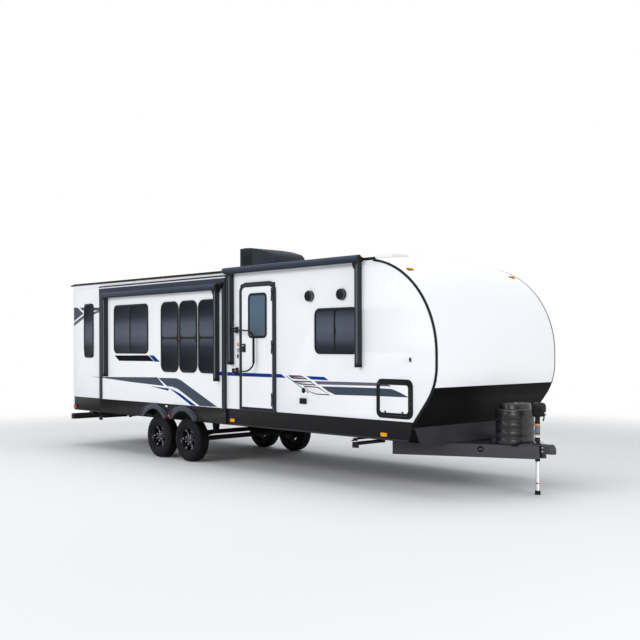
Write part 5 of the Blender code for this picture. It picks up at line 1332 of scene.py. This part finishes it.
def tyre_mesh(matrix):
    """Tyre with a sidewall bead, rim guard, shoulder blocks and four grooves."""
    rows = []
    for radius, height, kind in TREAD + [(r, -h, kind) for r, h, kind in reversed(TREAD)]:
        phase = (2 if height < 0 else 0) + (1 if kind == 3 else 0)
        row = []
        for i in range(TREAD_STEPS):
            r = radius - (CUTS[kind] if (i + phase) % 4 == 0 else 0.0)
            turn = math.tau * i / TREAD_STEPS
            row.append((r * math.cos(turn), r * math.sin(turn), height))
        rows.append(row)
    return lofted(rows, closed=True, matrix=matrix)


def spoke_mesh(matrix):
    """Tapered spoke from the hub plate to the barrel with a raised ridge."""
    rows = []
    for radius, half, edge, ridge in (
            (0.055, 0.021, 0.0500, 0.0530), (0.085, 0.0175, 0.0470, 0.0530),
            (0.120, 0.0150, 0.0480, 0.0555), (0.150, 0.0175, 0.0530, 0.0600),
            (0.176, 0.0290, 0.0600, 0.0650)):
        rows.append([(radius, across, height) for across, height in (
            (-half, edge - 0.024), (-half, edge - 0.003), (-half * 0.75, edge), (0.0, ridge),
            (half * 0.75, edge), (half, edge - 0.003), (half, edge - 0.024))])
    return lofted(rows, capped=True, matrix=matrix)


def accent_mesh(matrix):
    """Bright wedge on the outer end of a spoke."""
    return lofted([[(u, v, w + lift) for u, v, w in (
        (0.140, -0.0035, 0.0588), (0.140, 0.0035, 0.0588), (0.1680, 0.0085, 0.0628),
        (0.1680, -0.0085, 0.0628))] for lift in (0.0, 0.0016)], capped=True, matrix=matrix)


def wheel_pieces(word, x, side):
    body = "wheel_" + word
    matrix = outward(side, x, WHEEL_Y, WHEEL_Z)
    turns = [matrix @ Matrix.Rotation(math.tau * i / SPOKES, 4, "Z") for i in range(SPOKES)]
    tyre = piece("tyre_tread_" + word, tyre_mesh(matrix), RUBBER, body, angle=25)
    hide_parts("tyre_" + word)
    rim = piece("rim_barrel_" + word, lathe(BARREL, 96, matrix), RIM_BLACK, body)
    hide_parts("rim_" + word)
    piece("rim_spokes_" + word, [spoke_mesh(turn) for turn in turns], RIM_BLACK, body, bevel=0.0015,
          segments=3)
    piece("rim_accents_" + word, [accent_mesh(turn) for turn in turns], MACHINED, body,
          bevel=0.0005)
    for prefix, finish, steps, profile in TURNED:
        piece(prefix + word, lathe(profile, steps, matrix), finish, body)
    spots = []
    for i in range(SPOKES):
        turn = math.tau * (i + 0.5) / SPOKES
        spots.append(matrix @ upwards(NUT_CIRCLE * math.cos(turn), NUT_CIRCLE * math.sin(turn), 0))
    piece("lug_nuts_" + word, [lathe(NUT, 6, spot) for spot in spots], CHROME, body, bevel=0.0006,
          angle=40)
    piece("lug_seats_" + word, [lathe(NUT_SEAT, 24, spot) for spot in spots], RIM_BLACK, body)
    stem_at = matrix @ Matrix.Rotation(math.tau / 12, 4, "Z") @ upwards(0.163, 0, 0)
    piece("valve_stem_" + word, lathe(STEM, 16, stem_at), SEAL, body)
    piece("brake_drum_" + word, lathe(DRUM, 64, matrix), FRAME_PAINT, body)


for end, x in WHEELS:
    for side, word in SIDES:
        wheel_pieces(word + "_" + end, x, side)
        piece("backing_plate_%s_%s" % (word, end),
              lathe([(0, 0.004), (0.120, 0.004), (0.139, 0.0), (0.139, -0.003), (0.040, -0.004),
                     (0, -0.004)], 48, outward(side, x, 0.9255, WHEEL_Z)), FRAME_PAINT)


# Springs

SPRING_Y = 0.850
LEAF_HALF = (0.0235, 0.0034)
for side, word in SIDES:
    parts = []
    for end, x in WHEELS:
        for bolt_x in (x - 0.044, x + 0.044):
            for y in (0.8205, 0.8795):
                for low, high, radius, sides in ((0.284, 0.446, 0.0055, 12),
                                                 (0.288, 0.297, 0.0100, 6)):
                    parts.append(cylinder((bolt_x, side * y, low), (bolt_x, side * y, high),
                                          radius, sides))
        parts.append(sided_box(side, (x - 0.056, x + 0.056), (0.810, 0.890), (0.2975, 0.3018)))
        for i in range(1, 4):
            reach = 0.300 - 0.062 * i
            line = []
            for k in range(13):
                t = 2 * k / 12 - 1
                line.append((x + t * reach, 0.3918 + 0.0085 * i + 0.068 * (t * reach / 0.33) ** 2))
            leaf = [(u, w - LEAF_HALF[1]) for u, w in line]
            leaf += [(u, w + LEAF_HALF[1]) for u, w in reversed(line)]
            parts.append(side_slab(side, [leaf], SPRING_Y - LEAF_HALF[0], SPRING_Y + LEAF_HALF[0]))
    piece("spring_leaves_and_u_bolts_" + word, parts, FRAME_PAINT, bevel=0.0005)


# Roof equipment

AC_X0, AC_X1, AC_Z = station(-4.780), station(-3.950), 2.9403
VENT_AT = station(-1.830)
slats = []
for side in (DOOR_SIDE, OFF_SIDE):
    for i in range(6):
        z = AC_Z + 0.080 + i * 0.034
        slats.append(sided_box(side, (AC_X0 + 0.072, AC_X0 + 0.288), (0.3135, 0.3280),
                               (z + 0.0165, z + 0.0200)))
    for i in range(-3, 9):
        foot, reach = AC_X0 + 0.040 + 0.032 * i, 0.150
        loop = [(foot + reach, AC_Z + 0.060), (foot + reach + 0.014, AC_Z + 0.060),
                (foot + 0.014, AC_Z + 0.350), (foot, AC_Z + 0.350)]
        loop = within(loop, AC_X0 + 0.036, AC_X0 + 0.300, AC_Z + 0.060, AC_Z + 0.350)
        if loop:
            slats.append(side_slab(side, [loop], 0.3285, 0.3325))
    for x in (AC_X0 + 0.14, AC_X1 - 0.14):
        slats.append(pin(side, x, (0.329, 0.3335), AC_Z + 0.035, 0.008, 18))
piece("ac_slats_and_screws", slats, TRIM_BLACK, bevel=0.0008)
piece("ac_rear_grille", [box((AC_X0 - 0.0045, y, AC_Z + 0.060),
                             (AC_X0 + 0.002, y + 0.014, AC_Z + 0.290))
                         for y in [-0.250 + 0.025 * i for i in range(20)]], TRIM_BLACK,
      bevel=0.001)
piece("ac_base_gasket", box((AC_X0 + 0.030, -0.300, AC_Z - 0.012),
                            (AC_X1 - 0.030, 0.300, AC_Z + 0.006)), SEAL)
piece("vent_flange", box((VENT_AT - 0.232, -0.232, 2.9395), (VENT_AT + 0.232, 0.232, 2.9435)),
      MEMBRANE, bevel=0.0015)
piece("vent_sealant", tube([(u, v, 2.9425) for u, v in
                            round_rect(VENT_AT - 0.236, VENT_AT + 0.236, -0.236, 0.236, 0.030)],
                           0.009, 2, cyclic=True), SEALANT)
piece("vent_lid_ribs", [box((x, -0.150, 3.0478), (x + 0.012, 0.150, 3.0535))
                        for x in [VENT_AT - 0.130 + 0.052 * i for i in range(6)]], MEMBRANE,
      bevel=0.002)
for name, x, y, r in (("plumbing_vent_1", -6.35, 0.62, 0.033),
                      ("plumbing_vent_2", -2.62, 0.70, 0.028)):
    cap = lathe([(0, 0.075), (r * 1.5, 0.071), (r * 1.7, 0.057), (r * 1.7, 0.041), (r * 1.1, 0.041),
                 (r, 0.012), (r * 2.4, 0.006), (r * 2.4, -0.008), (0, -0.008)], 40,
                upwards(station(x), y, 2.925))
    piece(name, cap, MEMBRANE)
shares = [0.985 * s / 12 for s in range(-12, 13)]
piece("roof_lap_seams",
      [tube([(x, HALF * share, ROOF_EDGE_Z + ROOF_CROWN * (1 - share ** 2) + 0.001)
             for share in shares], 0.007, 2) for x in (station(-1.075), REAR_X + 0.040)], SEALANT)

# Gas bottle cover

COVER_X = station(0.220)
COVER_BASE = 0.5950
COVER_HEIGHT = 1.090 - COVER_BASE
COVER_HALVES = (0.175, 0.290)
COVER_POWER = 2.6
COVER_STEPS = 128
SLOT_DEPTH = 0.007
# Height from a slot's middle, share of its depth
SLOT = ((-0.026, 0.0), (-0.024, 0.15), (-0.017, 1.0), (0.017, 1.0), (0.024, 0.15), (0.026, 0.0))
# Share of the height, inset
LID = ((0.775, 0.0), (0.79, 0.0030), (0.80, 0.0), (0.838, 0.003), (0.852, 0.010), (0.862, 0.022),
       (0.866, 0.034), (0.870, 0.041), (0.890, 0.043), (0.960, 0.046), (0.986, 0.053),
       (1.0, 0.072), (0.997, 0.112), (0.985, 0.124))


def cover_mesh():
    """Oval cover with slots that stop short of a smooth column, and a raised lid."""
    levels = [(0.0, 0.014, 0.0), (0.012, 0.002, 0.0), (0.030, 0.0, 0.0)]
    for share in (0.17, 0.375, 0.58):
        levels += [(COVER_HEIGHT * share + rise, 0.0, slot) for rise, slot in SLOT]
    levels += [(COVER_HEIGHT * share, inset, 0.0) for share, inset in LID]
    rows = []
    for z, inset, slot in levels:
        row = []
        a, b = (half - inset for half in COVER_HALVES)
        for i in range(COVER_STEPS):
            turn = math.tau * i / COVER_STEPS
            c, s = math.cos(turn), math.sin(turn)
            radius = (abs(c / a) ** COVER_POWER + abs(s / b) ** COVER_POWER) ** (-1 / COVER_POWER)
            front_rib = min(1.0, max(0.0, (abs(s) - 0.10) / 0.05))
            side_rib = min(1.0, max(0.0, (abs(c) - 0.06) / 0.04))
            radius -= SLOT_DEPTH * slot * front_rib * side_rib
            row.append((COVER_X + radius * c, radius * s, COVER_BASE + z))
        rows.append(row)
    return lofted(rows, capped=True)


cover = piece("gas_cover_shell", cover_mesh(), COVER_PLASTIC, angle=28)
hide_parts("lp_cover")
piece("gas_cover_lid_bridge",
      [box((COVER_X - 0.020, -0.075, 1.0820), (COVER_X + 0.020, 0.075, 1.0885))]
      + [cylinder((COVER_X, y, 1.0800), (COVER_X, y, 1.0895), 0.014, 24) for y in (-0.060, 0.060)],
      TRIM_BLACK, bevel=0.0015)
piece("gas_cover_knob", lathe([(0, 0.0120), (0.020, 0.0118), (0.026, 0.0090), (0.027, 0.0020),
                               (0.030, 0.0), (0, 0.0)], 32, upwards(COVER_X, 0.0, 1.0775)), ZINC)


# Jack

JACK_X = station(0.540)
TUBE_RADIUS = 0.0302


def head_rows():
    """Outline of the jack's head, drawn in towards its middle by an inset at each height."""
    middle = JACK_X + 0.029
    rows = []
    for z, inset in ((0.952, 0.006), (0.966, 0.0), (1.056, 0.0), (1.084, 0.005), (1.100, 0.018),
                     (1.107, 0.034)):
        row = []
        for u, v in round_rect(JACK_X - 0.050, JACK_X + 0.108, -0.047, 0.047, 0.040):
            keep = 1 - inset / math.hypot(u - middle, v)
            row.append((middle + (u - middle) * keep, v * keep, z))
        rows.append(row)
    return rows


def sleeve(radius, tall, edge, z):
    """Collar round the jack's tube with its outer edges taken off."""
    top = [(radius - edge, tall), (radius, tall - edge), (radius, edge), (radius - edge, 0.0)]
    top = top if edge else [(radius, tall), (radius, 0.0)]
    return lathe([(TUBE_RADIUS, tall)] + top + [(TUBE_RADIUS, 0.0), (TUBE_RADIUS, tall)], 40,
                 upwards(JACK_X, 0.0, z))


piece("jack_head_cover", lofted(head_rows(), capped=True), PLASTIC, bevel=0.003, segments=3)
piece("jack_head_seam", tube([(u, v, 1.010) for u, v in
                              round_rect(JACK_X - 0.0502, JACK_X + 0.1082, -0.0472, 0.0472, 0.040)],
                             0.0016, 2, cyclic=True), SEAL)
piece("jack_crank", tube([(JACK_X + x, y, z) for x, y, z in (
    (0.092, 0.0, 0.958), (0.092, 0.0, 0.935), (0.090, -0.006, 0.912), (0.086, -0.012, 0.888))],
    0.0085, 4), PLASTIC)
piece("jack_switch_panel", box((JACK_X + 0.020, -0.0515, 0.985), (JACK_X + 0.075, -0.0465, 1.040)),
      TRIM_BLACK, bevel=0.002)
piece("jack_switch", box((JACK_X + 0.040, -0.0575, 1.002), (JACK_X + 0.055, -0.0514, 1.024)), SEAL,
      bevel=0.002)
piece("jack_work_light", lathe([(0, 0.005), (0.012, 0.005), (0.015, 0.002), (0.015, -0.002),
                                (0, -0.002)], 28,
                               facing((1, 0, 0), JACK_X + 0.1075, 0.0, 0.985)), CLEAR)
piece("jack_collars", [sleeve(radius, tall, 0.002, z) for z, radius, tall in (
    (0.6105, 0.050, 0.010), (0.640, 0.0345, 0.012), (0.930, 0.0345, 0.014))], PLASTIC)
for i, (z0, z1, finish) in enumerate(((0.690, 0.708, GELCOAT), (0.709, 0.728, LABEL_ORANGE),
                                      (0.740, 0.824, LABEL_GREY), (0.829, 0.851, LABEL_ORANGE))):
    piece("jack_label_%d" % i, sleeve(0.0310, z1 - z0, 0.0, z0), finish)
turns = [math.tau * i / 3 + 0.5 for i in range(3)]
piece("jack_flange_bolts",
      [cylinder((JACK_X + 0.043 * math.cos(turn), 0.043 * math.sin(turn), 0.6172),
                (JACK_X + 0.043 * math.cos(turn), 0.043 * math.sin(turn), 0.6255), 0.0075, 6)
       for turn in turns], ZINC, bevel=0.0008)


# Coupler and tongue

TIP_X = station(0.789)
RAIL_TOP_Z = 0.5947
PLUG_Z = 0.535
PLUG = [(0, 0.010), (0.012, 0.012), (0.020, 0.011), (0.024, 0.006), (0.034, 0.005), (0.038, 0.0),
        (0, 0.0)]
piece("coupler_latch",
      [box((TIP_X - 0.180, -0.011, 0.612), (TIP_X - 0.060, 0.011, 0.622)),
       box((TIP_X - 0.198, -0.013, 0.6125), (TIP_X - 0.1805, 0.013, 0.640)),
       cylinder((TIP_X - 0.075, -0.020, 0.606), (TIP_X - 0.075, 0.020, 0.606), 0.009, 18)],
      ZINC, bevel=0.0015)
piece("coupler_bolts", [pin(side, TIP_X + x, (0.0482, 0.0560), z, 0.0095, 6)
                        for x in (-0.245, -0.145) for z in (0.530, 0.575)
                        for side in (DOOR_SIDE, OFF_SIDE)], ZINC, bevel=0.0008)
for side, word in SIDES:
    back = Vector((station(-1.000), side * 0.880, 0))
    front = Vector((station(0.600), side * 0.050, 0))
    along = (front - back).normalized()
    out = Vector((along.y, -along.x, 0)) * -side
    spot = back + along * ((station(-0.020) - back.x) / along.x) + out * 0.0300
    piece("rail_round_plug_" + word,
          lathe(PLUG, 40, facing((out.x, out.y, 0), spot.x, spot.y, PLUG_Z)), TRIM_BLACK)
    bolts = [spot + along * d + Vector((0, 0, PLUG_Z)) for d in (-0.007, 0.016)]
    piece("rail_plug_bolts_" + word,
          [cylinder(bolt + out * 0.010, bolt + out * 0.0145, 0.0045, 6) for bolt in bolts], ZINC)
    weld = [tuple(front + out * 0.0302 - along * 0.02 * i + Vector((0, 0, RAIL_TOP_Z + 0.001)))
            for i in range(12)]
    piece("rail_weld_" + word, tube(weld, 0.0045, 2), TONGUE_PAINT)
piece("tongue_cross_member", box((station(-0.560), -0.520, 0.470), (station(-0.510), 0.520, 0.560)),
      TONGUE_PAINT, bevel=0.003, segments=3)
piece("gas_tray", box((COVER_X - 0.190, -0.235, 0.5870), (COVER_X + 0.180, 0.235, 0.5944)),
      FRAME_PAINT, bevel=0.0015)


# Bumper and rear face

BUMPER_X = REAR_X - 0.121
PLATE_BACK = REAR_X - 0.0016
ends = []
for side in (DOOR_SIDE, OFF_SIDE):
    ends.append(sided_box(side, (BUMPER_X + 0.001, BUMPER_X + 0.099), (1.1885, 1.1960),
                          (0.471, 0.569)))
    ends.append(pin(side, BUMPER_X + 0.05, (1.1955, 1.200), 0.52, 0.026, 32))
piece("bumper_end_caps", ends, PLASTIC, bevel=0.004, segments=3)
for name, far, near, y_range, z_range, finish, soft in (
        ("bracket", 0.006, 0.0, (-0.92, -0.60), (0.720, 0.880), PLASTIC, 0.002),
        ("blank", 0.0085, 0.0058, (-0.912, -0.608), (0.7265, 0.8735), GELCOAT, 0.001),
        ("lamp", 0.024, 0.0, (-0.790, -0.730), (0.8822, 0.902), PLASTIC, 0.003)):
    piece("plate_" + name, box((PLATE_BACK - far, y_range[0], z_range[0]),
                               (PLATE_BACK - near, y_range[1], z_range[1])), finish, bevel=soft)
piece("spare_socket", lathe([(0, 0.012), (0.026, 0.012), (0.034, 0.007), (0.036, 0.0), (0, 0.0)],
                            36, facing((-1, 0, 0), REAR_X - 0.0003, 0.55, 1.05)), PLASTIC)


# Underside

piece("gas_line", tube([(station(x), y, z) for x, y, z in (
    (-8.20, 0.42, 0.620), (-3.00, 0.42, 0.620), (-1.00, 0.30, 0.620), (-0.36, 0.22, 0.600))],
    0.009, 3), FRAME_PAINT)
DRAIN_X = station(-7.30)
piece("drain_pipe", tube([(DRAIN_X, -0.30, 0.600), (DRAIN_X, -0.78, 0.585)], 0.028, 4), PLASTIC)
piece("drain_cap", lathe([(0, 0.030), (0.034, 0.028), (0.042, 0.020), (0.042, 0.0), (0, 0.0)], 36,
                         facing((0, -1, -0.03), DRAIN_X, -0.779, 0.585)), PLASTIC)

# Stage, light and camera

FLOOR_HALF = 60
FLOOR_FADE = (6.5, 13.0)
FLOOR, tree, shader = new_material("studio_floor", (0.8, 0.8, 0.8), Roughness=0.85,
                                   Base_Color=(0.80, 0.80, 0.80, 1.0))
place = node(tree, "ShaderNodeTexCoord")
reach = node(tree, "ShaderNodeVectorMath", operation="LENGTH")
fade = node(tree, "ShaderNodeMapRange", interpolation_type="SMOOTHSTEP", From_Min=FLOOR_FADE[0],
            From_Max=FLOOR_FADE[1])
clear = node(tree, "ShaderNodeBsdfTransparent")
mix = node(tree, "ShaderNodeMixShader")
tree.links.new(place.outputs["Object"], reach.inputs[0])
tree.links.new(reach.outputs["Value"], fade.inputs["Value"])
tree.links.new(fade.outputs["Result"], mix.inputs["Fac"])
tree.links.new(shader.outputs["BSDF"], mix.inputs[1])
tree.links.new(clear.outputs["BSDF"], mix.inputs[2])
tree.links.new(mix.outputs["Shader"], tree.nodes["Material Output"].inputs["Surface"])


floor = bpy.data.meshes.new("floor")
corners = [(FLOOR_HALF * x, FLOOR_HALF * y, 0) for x, y in ((-1, -1), (1, -1), (1, 1), (-1, 1))]
floor.from_pydata(corners, [], [(0, 1, 2, 3)])
floor.materials.append(FLOOR)
ground = bpy.data.objects.new("floor", floor)
bpy.context.scene.collection.objects.link(ground)

for name, where, aim, size, power in (
        ("key", (-1.5, -17.0, 9.0), (-0.8, -1.0, 1.4), (14.0, 7.0), 1360.0),
        ("nose", (16.0, -3.0, 4.5), (3.0, 0.0, 1.6), (7.0, 6.0), 730.0),
        ("overhead", (-1.0, 1.0, 13.0), (0.0, 0.0, 1.0), (14.0, 8.0), 800.0)):
    data = bpy.data.lights.new(name, "AREA")
    data.shape = "RECTANGLE"
    data.size, data.size_y = size
    data.energy = power
    lamp_item = bpy.data.objects.new(name, data)
    bpy.context.scene.collection.objects.link(lamp_item)
    lamp_item.location = where
    lamp_item.rotation_euler = (Vector(aim) - Vector(where)).to_track_quat("-Z", "Y").to_euler()

world = bpy.data.worlds.new("studio")
bpy.context.scene.world = world
world.use_nodes = True
tree = world.node_tree
tree.nodes.clear()
path = node(tree, "ShaderNodeLightPath")
seen = path.outputs["Is Camera Ray"]
for kind in ("Is Transmission Ray", "Is Glossy Ray"):
    either = node(tree, "ShaderNodeMath", operation="MAXIMUM")
    tree.links.new(seen, either.inputs[0])
    tree.links.new(path.outputs[kind], either.inputs[1])
    seen = either.outputs["Value"]
ambient = node(tree, "ShaderNodeBackground", Color=(0.86, 0.90, 0.97, 1.0), Strength=0.52)
paper = node(tree, "ShaderNodeBackground", Color=(1.0, 1.0, 1.0, 1.0), Strength=1.0)
mix = node(tree, "ShaderNodeMixShader")
output = node(tree, "ShaderNodeOutputWorld")
tree.links.new(seen, mix.inputs["Fac"])
tree.links.new(ambient.outputs["Background"], mix.inputs[1])
tree.links.new(paper.outputs["Background"], mix.inputs[2])
tree.links.new(mix.outputs["Shader"], output.inputs["Surface"])

camera_data = bpy.data.cameras.new("photo_view")
camera_data.lens = 52.70
camera_data.sensor_width = 36.0
camera_data.shift_y = 0.0392
camera_data.clip_end = 200.0
camera = bpy.data.objects.new("photo_view", camera_data)
bpy.context.scene.collection.objects.link(camera)
right = Vector((0.6843, 0.7292, 0.0)).normalized()
ahead = Vector((-0.7292, 0.6843, 0.0)).normalized()
axes = Matrix((right, Vector((0.0, 0.0, 1.0)), -ahead)).transposed().to_4x4()
camera.matrix_world = (upwards(10.8919, -9.6064, 1.8028) @ axes
                       @ Matrix.Rotation(math.radians(-0.148), 4, "Z"))
bpy.context.scene.camera = camera
bpy.context.scene.view_settings.view_transform = "Standard"
